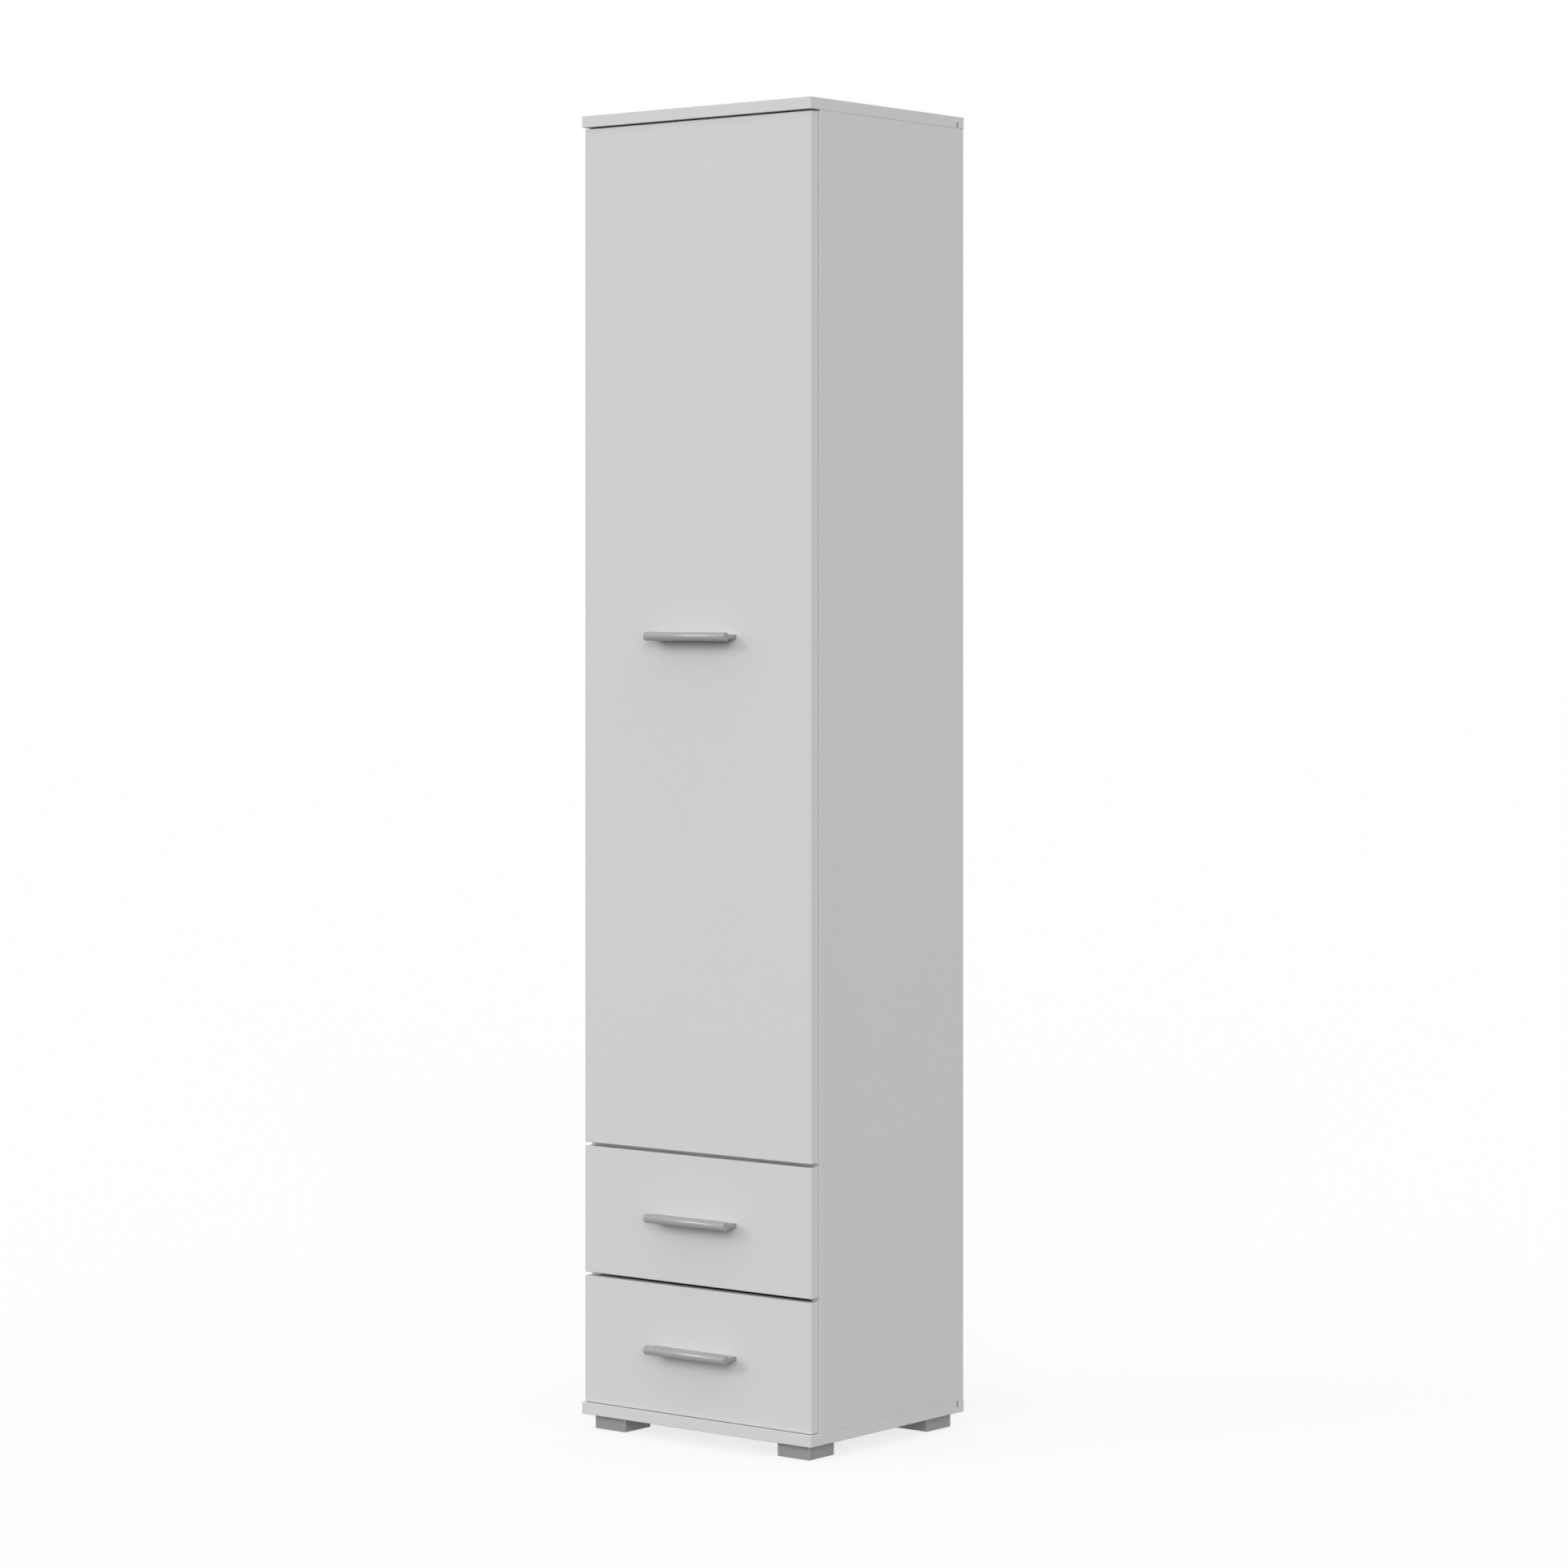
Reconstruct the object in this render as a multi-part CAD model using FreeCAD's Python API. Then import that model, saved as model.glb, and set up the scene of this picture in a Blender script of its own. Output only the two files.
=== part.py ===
import FreeCAD
import Part
import math
import os

V = FreeCAD.Vector

# Carcass of faced boards: the sides stand between a full-width top and bottom
WIDTH = 400.0
DEPTH = 340.0
CARCASS_HEIGHT = 1780.0
BOARD = 16.0
BOARD_EDGE = 0.5
SIDE_REAR_SETBACK = 1.0
BACK_BOARD = 3.0
BACK_INSET = 13.5
GROOVE_DEPTH = 8.0
GROOVE_END_PLAY = 0.5
GROOVE_PLAY = 0.1

# Fronts: one tall door over two drawers, held between the top and the bottom
FRONT_BOARD = 16.0
FRONT_EDGE = 0.5
FRONT_SETBACK = 4.0
FRONT_SIDE_INSET = 2.4
FRONT_TOP_GAP = 2.0
FRONT_BOTTOM_GAP = 0.8
FRONT_GAP = 5.0
FRONT_TO_SIDE = 0.6
DRAWER_FRONT_HEIGHT = 173.0

# Shelves behind the door, one fixed and the rest on pins
SHELF_COUNT = 4
FIXED_SHELF = 1
SHELF_SETBACK = 10.0
SHELF_SIDE_PLAY = 1.0
SHELF_REAR_PLAY = 0.3
PIN_RADIUS = 2.5
PIN_BITE = 9.0
PIN_HEAD_RADIUS = 4.0
PIN_HEAD_LENGTH = 9.0
PIN_INSET = 37.0

# Feet: square hollow blocks, each with one screw up a central boss
FOOT_SIZE = 55.0
FOOT_HEIGHT = 20.0
FOOT_INSET = 12.5
FOOT_CORNER = 2.0
FOOT_WALL = 2.5
FOOT_FLOOR = 3.0
FOOT_BOSS_RADIUS = 7.5
FOOT_SCREW_SEAT = 8.0
FOOT_SCREW_BITE = 12.0
FOOT_SCREW_PLAY = 0.4

# Handles: an extruded bar with a round nose on a flat web
HANDLE_LENGTH = 140.0
HANDLE_REACH = 27.4
HANDLE_NOSE_RADIUS = 6.0
HANDLE_WEB = 6.0
HANDLE_FILLET = 1.5
HANDLE_SCREW_INSET = 22.0
HANDLE_SCREW_BITE = 8.0

# Board fittings: cams with their bolts, dowels and screws
CAM_RADIUS = 7.5
CAM_DEPTH = 12.5
CAM_BACKSET = 24.0
BOLT_RADIUS = 3.0
BOLT_BITE = 11.0
BOLT_PLAY = 0.2
DOWEL_RADIUS = 4.0
DOWEL_BITE_THROUGH_FACE = 10.0
DOWEL_BITE_IN_EDGE = 20.0
JOINT_INSET = 50.0
SCREW_RADIUS = 1.8
SCREW_HEAD_RADIUS = 3.5
SCREW_HEAD_HEIGHT = 1.6
SHANK_SIDES = 4
SCREW_SIDES = 6
CAM_SIDES = 8

# Hinges: a cup sunk in the door, a pin across it and a cranked arm on a side plate
HINGE_END = 100.0
CUP_RADIUS = 17.5
CUP_DEPTH = 13.0
CUP_WALL = 0.7
CUP_SIDES = 20
CUP_CHEEK_GAP = 8.4
CUP_CHEEK_WIDTH = 3.5
CUP_CHEEK_RISE = 3.0
CUP_EDGE = 3.0
CUP_FLANGE = 0.9
CUP_FLANGE_CLEARANCE = 0.6
CUP_FLANGE_WIDTH = 23.5
CUP_FLANGE_LENGTH = 58.0
CUP_FLANGE_CORNER = 6.0
CUP_SCREW_OFFSET = 9.5
CUP_SCREW_SPACING = 45.0
CUP_SCREW_BITE = 11.0
PIVOT_INSET = 6.6
PIVOT_DEPTH = 9.5
SWING_CLEARANCE = 0.3
HINGE_PIN_RADIUS = 1.25
HINGE_PIN_LENGTH = 17.0
HINGE_PIN_SEAT_PLAY = 0.02
HINGE_PIN_PLAY = 0.05
EYE_RADIUS = 2.05
EYE_SIDES = 12
ARM_THICKNESS = 2.4
ARM_NECK_WIDTH = 7.0
ARM_NECK_REACH = 13.5
ARM_BEND = 2.0
ARM_BODY_START = 14.0
ARM_BODY_LENGTH = 50.0
ARM_BODY_WIDTH = 14.0
ARM_LIP = 1.2
ARM_LIP_CLEARANCE = 0.3
PLATE_THICKNESS = 2.0
PLATE_WIDTH = 12.0
PLATE_LENGTH = 44.0
PLATE_SCREW_INSET = 37.0
PLATE_SCREW_SPACING = 32.0
PLATE_SCREW_BITE = 11.0
ARM_SCREW_INSET = 9.0
ARM_SCREW_BITE = 4.0
BUMPER_RADIUS = 4.0
BUMPER_SIDES = 12
BUMPER_CLEARANCE = 0.3
BUMPER_SINK = 1.2
BUMPER_INSET = 7.0
BUMPER_END = 40.0

# Drawer boxes: thin boards on the back of each front, with a bottom in grooves
DRAWER_BOARD = 12.0
DRAWER_DEPTH = 280.0
DRAWER_SIDE_HEIGHT = 110.0
DRAWER_SIDE_RISE = 20.0
DRAWER_BOTTOM_BOARD = 3.0
DRAWER_BOTTOM_RISE = 10.0
DRAWER_GROOVE = 6.0
DRAWER_CAM_RADIUS = 6.0
DRAWER_CAM_DEPTH = 9.5
DRAWER_CAM_RISE = 75.0
DRAWER_DOWEL_RISE = 40.0
DRAWER_DOWEL_RADIUS = 3.0
DRAWER_SCREW_BITE = 25.0
DRAWER_SCREW_RISES = (45.0, 85.0)

# Roller runners in the gap beside each drawer box
RUNNER_GAP = 12.5
RAIL_STEEL = 1.2
RAIL_SETBACK = 2.0
RAIL_LENGTH = 280.0
RAIL_FLANGE = 9.5
RAIL_PLAY = 0.5
TRACK_START = 3.4
DRAWER_LIFT = 2.0
ROLLER_RADIUS = 8.0
ROLLER_WIDTH = 6.0
ROLLER_START = 3.6
ROLLER_PLAY = 0.3
AXLE_RADIUS = 2.5
AXLE_SIDES = 12
AXLE_PLAY = 0.15
AXLE_PROUD = 0.3
AXLE_INSET = 12.0
DRAWER_TRAVEL = 200.0
STOP_HEIGHT = 3.0
STOP_LENGTH = 3.0
RAIL_SCREW_INSET = 37.0
RAIL_SCREW_SPACING = 192.0
RAIL_SCREW_BITE = 11.0
DRAWER_RAIL_SCREW_BITE = 8.0

# Wall angle under the top, with a hole for a wall screw through the back
BRACKET_LEG = 30.0
BRACKET_WIDTH = 40.0
BRACKET_STEEL = 2.0
BRACKET_HOLE_RADIUS = 3.0
BRACKET_HOLE_DROP = 18.0
BRACKET_SCREW_SPACING = 24.0
BRACKET_SCREW_BITE = 10.0

# One overrun for every cut that has to break through a face
OVERRUN = 1.0

# Places across, from front to back and upwards that the pieces share
X_OUT = WIDTH / 2
X_IN = X_OUT - BOARD
X_FRONT = X_OUT - FRONT_SIDE_INSET
Y_TOP_FRONT = (HANDLE_REACH - FRONT_SETBACK - DEPTH) / 2
Y_REAR = Y_TOP_FRONT + DEPTH
Y_FACE = Y_TOP_FRONT + FRONT_SETBACK
Y_INNER_FACE = Y_FACE + FRONT_BOARD
Y_SIDE_FRONT = Y_INNER_FACE + FRONT_TO_SIDE
Y_SIDE_REAR = Y_REAR - SIDE_REAR_SETBACK
Y_BACK_REAR = Y_REAR - BACK_INSET
Y_BACK_FRONT = Y_BACK_REAR - BACK_BOARD
Z_BASE = FOOT_HEIGHT
Z_FLOOR = Z_BASE + BOARD
Z_TOP = FOOT_HEIGHT + CARCASS_HEIGHT
Z_CEILING = Z_TOP - BOARD
Z_LOWER_FRONT = Z_FLOOR + FRONT_BOTTOM_GAP
Z_UPPER_FRONT = Z_LOWER_FRONT + DRAWER_FRONT_HEIGHT + FRONT_GAP
Z_DOOR = Z_UPPER_FRONT + DRAWER_FRONT_HEIGHT + FRONT_GAP
Z_DOOR_TOP = Z_CEILING - FRONT_TOP_GAP
Z_DIVIDER = Z_DOOR - FRONT_GAP / 2 - BOARD / 2
JOINT_PLACES = (Y_SIDE_FRONT + JOINT_INSET, Y_BACK_FRONT - JOINT_INSET)
PIN_PLACES = (Y_SIDE_FRONT + PIN_INSET, Y_BACK_FRONT - PIN_INSET)
HANDS = {"left": -1, "right": 1}

boards = {}
holes = {}
groups = {}


def drill(node, *tools):
    """Remember what is to be cut out of a board."""
    holes.setdefault(node, []).extend(tools)


def add(node, *solids):
    """Put one more separate solid into a group of small pieces."""
    groups.setdefault(node, []).extend(solids)


def block(x0, x1, y0, y1, z0, z1):
    """Square-edged block between two corners."""
    low = V(min(x0, x1), min(y0, y1), min(z0, z1))
    return Part.makeBox(abs(x1 - x0), abs(y1 - y0), abs(z1 - z0), low)


def panel(edge, *limits):
    """Board with a fine chamfer along all its edges."""
    blank = block(*limits)
    return blank.makeChamfer(edge, blank.Edges)


def upright(edge, *limits):
    """Standing board with a fine chamfer along its upright edges; its ends are sawn square."""
    blank = block(*limits)
    return blank.makeChamfer(edge, [e for e in blank.Edges if e.BoundBox.ZLength > BOARD])


def rod(start, end, radius):
    """Round bar from one point to another."""
    run = end - start
    return Part.makeCylinder(radius, run.Length, start, run)


def slab(points, run):
    """Straight-sided outline pushed along a vector."""
    face = Part.Face(Part.makePolygon(points + points[:1]))
    solid = face.extrude(run)
    return solid if solid.Volume > 0 else solid.reversed()


def bar(start, end, radius, sides):
    """Flat-sided bar from one point to another; the radius is measured to its flats."""
    run = end - start
    along = V(run).normalize()
    up = V(1, 0, 0) if abs(along.z) > abs(along.x) + abs(along.y) else V(0, 0, 1)
    across = along.cross(up)
    corner = radius / math.cos(math.pi / sides)
    turns = [(2 * k + 1) * math.pi / sides for k in range(sides)]
    ring = [start + up * (corner * math.cos(t)) + across * (corner * math.sin(t)) for t in turns]
    return slab(ring, run)


def screw(seat, into, bite):
    """Pan-head screw whose head sits on a face; returns the screw and its hole."""
    shank = bar(seat, seat + into * bite, SCREW_RADIUS, SHANK_SIDES)
    head = bar(seat, seat - into * SCREW_HEAD_HEIGHT, SCREW_HEAD_RADIUS, SCREW_SIDES)
    return head.fuse(shank), shank


def cam_joint(face, inward, toward, size, holder, mate, disc_node, bolt_node):
    """Cam disc sunk in one board, pulling a bolt that is screwed into its mate."""
    radius, depth, axis_depth = size
    disc = bar(face, face + inward * depth, radius, CAM_SIDES)
    centre = face + inward * axis_depth
    seam = centre + toward * CAM_BACKSET
    end = seam + toward * BOLT_BITE
    slot_start = centre - toward * BOLT_PLAY
    slot_end = seam + toward * OVERRUN
    slot = bar(slot_start, slot_end, BOLT_RADIUS + BOLT_PLAY, SHANK_SIDES)
    add(disc_node, disc.cut(slot))
    add(bolt_node, bar(centre, end, BOLT_RADIUS, SHANK_SIDES))
    drill(holder, disc, slot)
    drill(mate, bar(seam, end, BOLT_RADIUS, SHANK_SIDES))


def dowel(node, seam, toward, radius, edge_board, face_board):
    """Glued dowel, long in the end of one board and short in the face of the other."""
    start = seam - toward * DOWEL_BITE_IN_EDGE
    end = seam + toward * DOWEL_BITE_THROUGH_FACE
    pin = bar(start, end, radius, SCREW_SIDES)
    add(node, pin)
    drill(edge_board, pin)
    drill(face_board, pin)


# Top, bottom, sides and back
groove_front = Y_BACK_FRONT - GROOVE_PLAY
groove_rear = Y_BACK_REAR + GROOVE_PLAY
boards["top_panel"] = panel(BOARD_EDGE, -X_OUT, X_OUT, Y_TOP_FRONT, Y_REAR, Z_CEILING, Z_TOP)
boards["bottom_panel"] = panel(BOARD_EDGE, -X_OUT, X_OUT, Y_TOP_FRONT, Y_REAR, Z_BASE, Z_FLOOR)
through = X_OUT + OVERRUN
groove_top = Z_CEILING + GROOVE_DEPTH
groove_bottom = Z_FLOOR - GROOVE_DEPTH
drill("top_panel", block(-through, through, groove_front, groove_rear, Z_CEILING - OVERRUN, groove_top))
drill("bottom_panel", block(-through, through, groove_front, groove_rear, groove_bottom, Z_FLOOR + OVERRUN))

for name, hand in HANDS.items():
    side = name + "_side_panel"
    side_y = (Y_SIDE_FRONT, Y_SIDE_REAR)
    boards[side] = upright(BOARD_EDGE, hand * X_IN, hand * X_OUT, *side_y, Z_FLOOR, Z_CEILING)
    groove_in = hand * (X_IN - OVERRUN)
    groove_out = hand * (X_IN + GROOVE_DEPTH)
    groove_ends = (Z_FLOOR - OVERRUN, Z_CEILING + OVERRUN)
    drill(side, block(groove_in, groove_out, groove_front, groove_rear, *groove_ends))
    outward = V(hand, 0, 0)
    x_middle = hand * (X_IN + BOARD / 2)
    for mate, seam_z, step in (("top_panel", Z_CEILING, 1), ("bottom_panel", Z_FLOOR, -1)):
        toward = V(0, 0, step)
        for y in JOINT_PLACES:
            face = V(hand * X_IN, y, seam_z - step * CAM_BACKSET)
            size = (CAM_RADIUS, CAM_DEPTH, BOARD / 2)
            cam_joint(face, outward, toward, size, side, mate, "cam_discs", "cam_bolts")
        seam = V(x_middle, sum(JOINT_PLACES) / 2, seam_z)
        dowel("dowels", seam, toward, DOWEL_RADIUS, side, mate)

back_half = X_IN + GROOVE_DEPTH - GROOVE_END_PLAY
back_reach = GROOVE_DEPTH - GROOVE_END_PLAY
boards["back_panel"] = block(
    -back_half, back_half, Y_BACK_FRONT, Y_BACK_REAR, Z_FLOOR - back_reach, Z_CEILING + back_reach
)

# Divider over the drawers, and the shelves, spaced evenly up to the top
Z_COMPARTMENT = Z_DIVIDER + BOARD
shelf_pitch = (Z_CEILING - Z_COMPARTMENT + BOARD) / (SHELF_COUNT + 1)
shelf_levels = [Z_COMPARTMENT + shelf_pitch * (k + 1) - BOARD for k in range(SHELF_COUNT)]
loose_levels = [z for k, z in enumerate(shelf_levels) if k != FIXED_SHELF]
fixed_boards = {
    "divider_panel": (Y_SIDE_FRONT, Z_DIVIDER),
    "fixed_shelf": (Y_SIDE_FRONT + SHELF_SETBACK, shelf_levels[FIXED_SHELF]),
}
for node, (y_front, z) in fixed_boards.items():
    boards[node] = panel(BOARD_EDGE, -X_IN, X_IN, y_front, Y_BACK_FRONT, z, z + BOARD)
    for name, hand in HANDS.items():
        side = name + "_side_panel"
        toward = V(hand, 0, 0)
        for y in JOINT_PLACES:
            face = V(hand * (X_IN - CAM_BACKSET), y, z)
            size = (CAM_RADIUS, CAM_DEPTH, BOARD / 2)
            cam_joint(face, V(0, 0, 1), toward, size, node, side, "cam_discs", "cam_bolts")
        seam = V(hand * X_IN, sum(JOINT_PLACES) / 2, z + BOARD / 2)
        dowel("dowels", seam, toward, DOWEL_RADIUS, node, side)

shelf_half = X_IN - SHELF_SIDE_PLAY
shelf_front = Y_SIDE_FRONT + SHELF_SETBACK
shelf_rear = Y_BACK_FRONT - SHELF_REAR_PLAY
for node, z in zip(("lower_shelf", "middle_shelf", "upper_shelf"), loose_levels):
    boards[node] = panel(BOARD_EDGE, -shelf_half, shelf_half, shelf_front, shelf_rear, z, z + BOARD)
    for name, hand in HANDS.items():
        for y in PIN_PLACES:
            wall = V(hand * X_IN, y, z - PIN_HEAD_RADIUS)
            deep = wall + V(hand * PIN_BITE, 0, 0)
            stem = bar(wall, deep, PIN_RADIUS, SHANK_SIDES)
            head = bar(wall, wall - V(hand * PIN_HEAD_LENGTH, 0, 0), PIN_HEAD_RADIUS, SCREW_SIDES)
            add("shelf_pins", head.fuse(stem))
            drill(name + "_side_panel", stem)


def foot(x, y):
    """Hollow square foot round a screw boss, with bevelled upright corners."""
    half = FOOT_SIZE / 2
    outer = block(x - half, x + half, y - half, y + half, 0, FOOT_HEIGHT)
    corners = [e for e in outer.Edges if abs(e.BoundBox.ZLength - FOOT_HEIGHT) < OVERRUN]
    outer = outer.makeChamfer(FOOT_CORNER, corners)
    inside = half - FOOT_WALL
    hollow = block(x - inside, x + inside, y - inside, y + inside, FOOT_FLOOR, FOOT_HEIGHT + OVERRUN)
    boss = bar(V(x, y, 0), V(x, y, FOOT_HEIGHT), FOOT_BOSS_RADIUS, SCREW_SIDES)
    seat = V(x, y, FOOT_SCREW_SEAT)
    sunk = bar(V(x, y, -OVERRUN), seat, SCREW_HEAD_RADIUS + FOOT_SCREW_PLAY, SCREW_SIDES)
    top = V(x, y, FOOT_HEIGHT)
    piece, shank = screw(seat, V(0, 0, 1), FOOT_HEIGHT - FOOT_SCREW_SEAT + FOOT_SCREW_BITE)
    add("foot_screws", piece)
    drill("bottom_panel", bar(top, top + V(0, 0, FOOT_SCREW_BITE), SCREW_RADIUS, SHANK_SIDES))
    return outer.cut(hollow.cut(boss)).cut([sunk, shank])


foot_middle = FOOT_INSET + FOOT_SIZE / 2
for row, y in (("front", Y_TOP_FRONT + foot_middle), ("rear", Y_REAR - foot_middle)):
    for name, hand in HANDS.items():
        boards[row + "_" + name + "_foot"] = foot(hand * (X_OUT - foot_middle), y)


def handle(z):
    """Bar handle: a round nose blended into a flat web that stands on the front."""
    nose_y = Y_FACE - HANDLE_REACH + HANDLE_NOSE_RADIUS
    half_web = HANDLE_WEB / 2
    x = -HANDLE_LENGTH / 2
    blend_rise = half_web + HANDLE_FILLET
    blend_gap = HANDLE_NOSE_RADIUS + HANDLE_FILLET
    blend_run = math.sqrt(blend_gap ** 2 - blend_rise ** 2)
    nose_share = HANDLE_NOSE_RADIUS / blend_gap

    def point(y, rise, side):
        return V(x, y, z + side * rise)

    def blend(side):
        centre = point(nose_y + blend_run, blend_rise, side)
        on_web = point(nose_y + blend_run, half_web, side)
        on_nose = point(nose_y + blend_run * nose_share, blend_rise * nose_share, side)
        middle = (on_web + on_nose) * 0.5 - centre
        return on_web, centre + middle.normalize() * HANDLE_FILLET, on_nose

    web_top, blend_top, nose_top = blend(1)
    web_low, blend_low, nose_low = blend(-1)
    root_top = point(Y_FACE, half_web, 1)
    root_low = point(Y_FACE, half_web, -1)
    tip = point(nose_y - HANDLE_NOSE_RADIUS, 0, 1)
    edges = [
        Part.LineSegment(root_top, web_top).toShape(),
        Part.Arc(web_top, blend_top, nose_top).toShape(),
        Part.Arc(nose_top, tip, nose_low).toShape(),
        Part.Arc(nose_low, blend_low, web_low).toShape(),
        Part.LineSegment(web_low, root_low).toShape(),
        Part.LineSegment(root_low, root_top).toShape(),
    ]
    solid = Part.Face(Part.Wire(edges)).extrude(V(HANDLE_LENGTH, 0, 0))
    return solid if solid.Volume > 0 else solid.reversed()


def front(node, z0, z1, prefix):
    """Front board with its handle screwed on from behind."""
    boards[node] = panel(FRONT_EDGE, -X_FRONT, X_FRONT, Y_FACE, Y_INNER_FACE, z0, z1)
    z = (z0 + z1) / 2
    boards[prefix + "_handle"] = handle(z)
    for hand in HANDS.values():
        seat = V(hand * (HANDLE_LENGTH / 2 - HANDLE_SCREW_INSET), Y_INNER_FACE, z)
        piece, shank = screw(seat, V(0, -1, 0), FRONT_BOARD + HANDLE_SCREW_BITE)
        add(prefix + "_handle_screws", piece)
        drill(node, shank)
        drill(prefix + "_handle", shank)


# Door with its hinges along the left edge
front("door_panel", Z_DOOR, Z_DOOR_TOP, "door")
CUP_CENTRE = CUP_EDGE + CUP_RADIUS
SIDE_FACE = X_FRONT - X_IN
CUP_FLANGE_START = SIDE_FACE + CUP_FLANGE_CLEARANCE
ARM_OUTER = PIVOT_INSET + ARM_NECK_REACH + ARM_THICKNESS / 2
ARM_INNER = ARM_OUTER - ARM_THICKNESS

# The door's hinge edge is bevelled at the back, so that its corner clears the side as it swings
swing_radius = PIVOT_DEPTH + FRONT_TO_SIDE - SWING_CLEARANCE
bevel_width = PIVOT_INSET - math.sqrt(swing_radius ** 2 - PIVOT_DEPTH ** 2)
bevel_depth = PIVOT_DEPTH - math.sqrt(swing_radius ** 2 - PIVOT_INSET ** 2)
bevel_points = [
    V(-X_FRONT, Y_INNER_FACE - bevel_depth, Z_DOOR - OVERRUN),
    V(-X_FRONT + bevel_width, Y_INNER_FACE, Z_DOOR - OVERRUN),
    V(-X_FRONT + bevel_width, Y_INNER_FACE + OVERRUN, Z_DOOR - OVERRUN),
    V(-X_FRONT - OVERRUN, Y_INNER_FACE + OVERRUN, Z_DOOR - OVERRUN),
    V(-X_FRONT - OVERRUN, Y_INNER_FACE - bevel_depth, Z_DOOR - OVERRUN),
]
bevel = slab(bevel_points, V(0, 0, Z_DOOR_TOP - Z_DOOR + 2 * OVERRUN))
drill("door_panel", bevel)


def hinge(z):
    """Cup hinge at one height, in sizes measured from the door's hinge edge and inner face."""

    def at(across, deep, up=0):
        return V(-X_FRONT + across, Y_INNER_FACE + deep, z + up)

    def local_block(x0, x1, y0, y1, z0, z1):
        low = at(x0, y0, z0)
        high = at(x1, y1, z1)
        return block(low.x, high.x, low.y, high.y, low.z, high.z)

    cup_rim = at(CUP_CENTRE, 0)
    cup_floor = at(CUP_CENTRE, CUP_WALL - CUP_DEPTH)
    cup_hole = bar(cup_rim, at(CUP_CENTRE, -CUP_DEPTH), CUP_RADIUS, CUP_SIDES)
    cup_open = at(CUP_CENTRE, CUP_FLANGE + OVERRUN)
    mouth = bar(cup_open, cup_floor, CUP_RADIUS - CUP_WALL, CUP_SIDES)
    cheek_top = CUP_CHEEK_RISE - PIVOT_DEPTH
    for step in (-1, 1):
        cheek_near = step * CUP_CHEEK_GAP / 2
        cheek_end = PIVOT_INSET + CUP_CHEEK_WIDTH
        cheek_far = step * CUP_RADIUS
        cheek = local_block(CUP_EDGE, cheek_end, -CUP_DEPTH, cheek_top, cheek_near, cheek_far)
        mouth = mouth.cut(cheek)
    half_flange = CUP_FLANGE_LENGTH / 2
    flange_end = CUP_FLANGE_START + CUP_FLANGE_WIDTH
    flange = local_block(CUP_FLANGE_START, flange_end, 0, CUP_FLANGE, -half_flange, half_flange)
    corners = [e for e in flange.Edges if abs(e.BoundBox.YLength - CUP_FLANGE) < CUP_FLANGE / 2]
    flange = flange.makeChamfer(CUP_FLANGE_CORNER, corners)
    half_pin = HINGE_PIN_LENGTH / 2
    pin_low = at(PIVOT_INSET, -PIVOT_DEPTH, -half_pin)
    pin_high = at(PIVOT_INSET, -PIVOT_DEPTH, half_pin)
    pin_seat = bar(pin_low, pin_high, HINGE_PIN_RADIUS + HINGE_PIN_SEAT_PLAY, EYE_SIDES)
    add("hinge_pins", rod(pin_low, pin_high, HINGE_PIN_RADIUS))
    cup = cup_hole.fuse(flange).cut([mouth, pin_seat, bevel])
    drill("door_panel", cup_hole)
    for step in (-1, 1):
        seat = at(CUP_CENTRE + CUP_SCREW_OFFSET, CUP_FLANGE, step * CUP_SCREW_SPACING / 2)
        piece, shank = screw(seat, V(0, -1, 0), CUP_FLANGE + CUP_SCREW_BITE)
        add("hinge_cup_screws", piece)
        cup = cup.cut(shank)
        drill("door_panel", shank)
    add("hinge_cups", cup)

    half_neck = ARM_NECK_WIDTH / 2
    half_body = ARM_BODY_WIDTH / 2
    half_strap = ARM_THICKNESS / 2
    body_end = ARM_BODY_START + ARM_BODY_LENGTH
    bend_middle = ARM_BEND * (1 - math.sqrt(2) / 2)
    strap_low = -PIVOT_DEPTH - half_strap
    strap_high = -PIVOT_DEPTH + half_strap
    outline = [
        at(PIVOT_INSET, strap_low, -half_neck),
        at(ARM_OUTER - ARM_BEND, strap_low, -half_neck),
        at(ARM_OUTER - bend_middle, strap_low + bend_middle, -half_neck),
        at(ARM_OUTER, strap_low + ARM_BEND, -half_neck),
        at(ARM_OUTER, ARM_BODY_START, -half_neck),
        at(ARM_INNER, ARM_BODY_START, -half_neck),
        at(ARM_INNER, strap_high, -half_neck),
        at(PIVOT_INSET, strap_high, -half_neck),
    ]
    neck = slab(outline, V(0, 0, ARM_NECK_WIDTH))
    eye_low = at(PIVOT_INSET, -PIVOT_DEPTH, -half_neck)
    eye_high = at(PIVOT_INSET, -PIVOT_DEPTH, half_neck)
    eye = bar(eye_low, eye_high, EYE_RADIUS, EYE_SIDES)
    web = local_block(ARM_INNER, ARM_OUTER, ARM_BODY_START, body_end, -half_body, half_body)
    lip_start = SIDE_FACE + PLATE_THICKNESS + ARM_LIP_CLEARANCE
    arm = neck.fuse([eye, web])
    for step in (-1, 1):
        lip_edge = step * (half_body - ARM_LIP)
        lip = local_block(lip_start, ARM_OUTER, ARM_BODY_START, body_end, lip_edge, step * half_body)
        arm = arm.fuse(lip)
    arm = arm.cut(bar(eye_low, eye_high, HINGE_PIN_RADIUS + HINGE_PIN_PLAY, EYE_SIDES))

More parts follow.
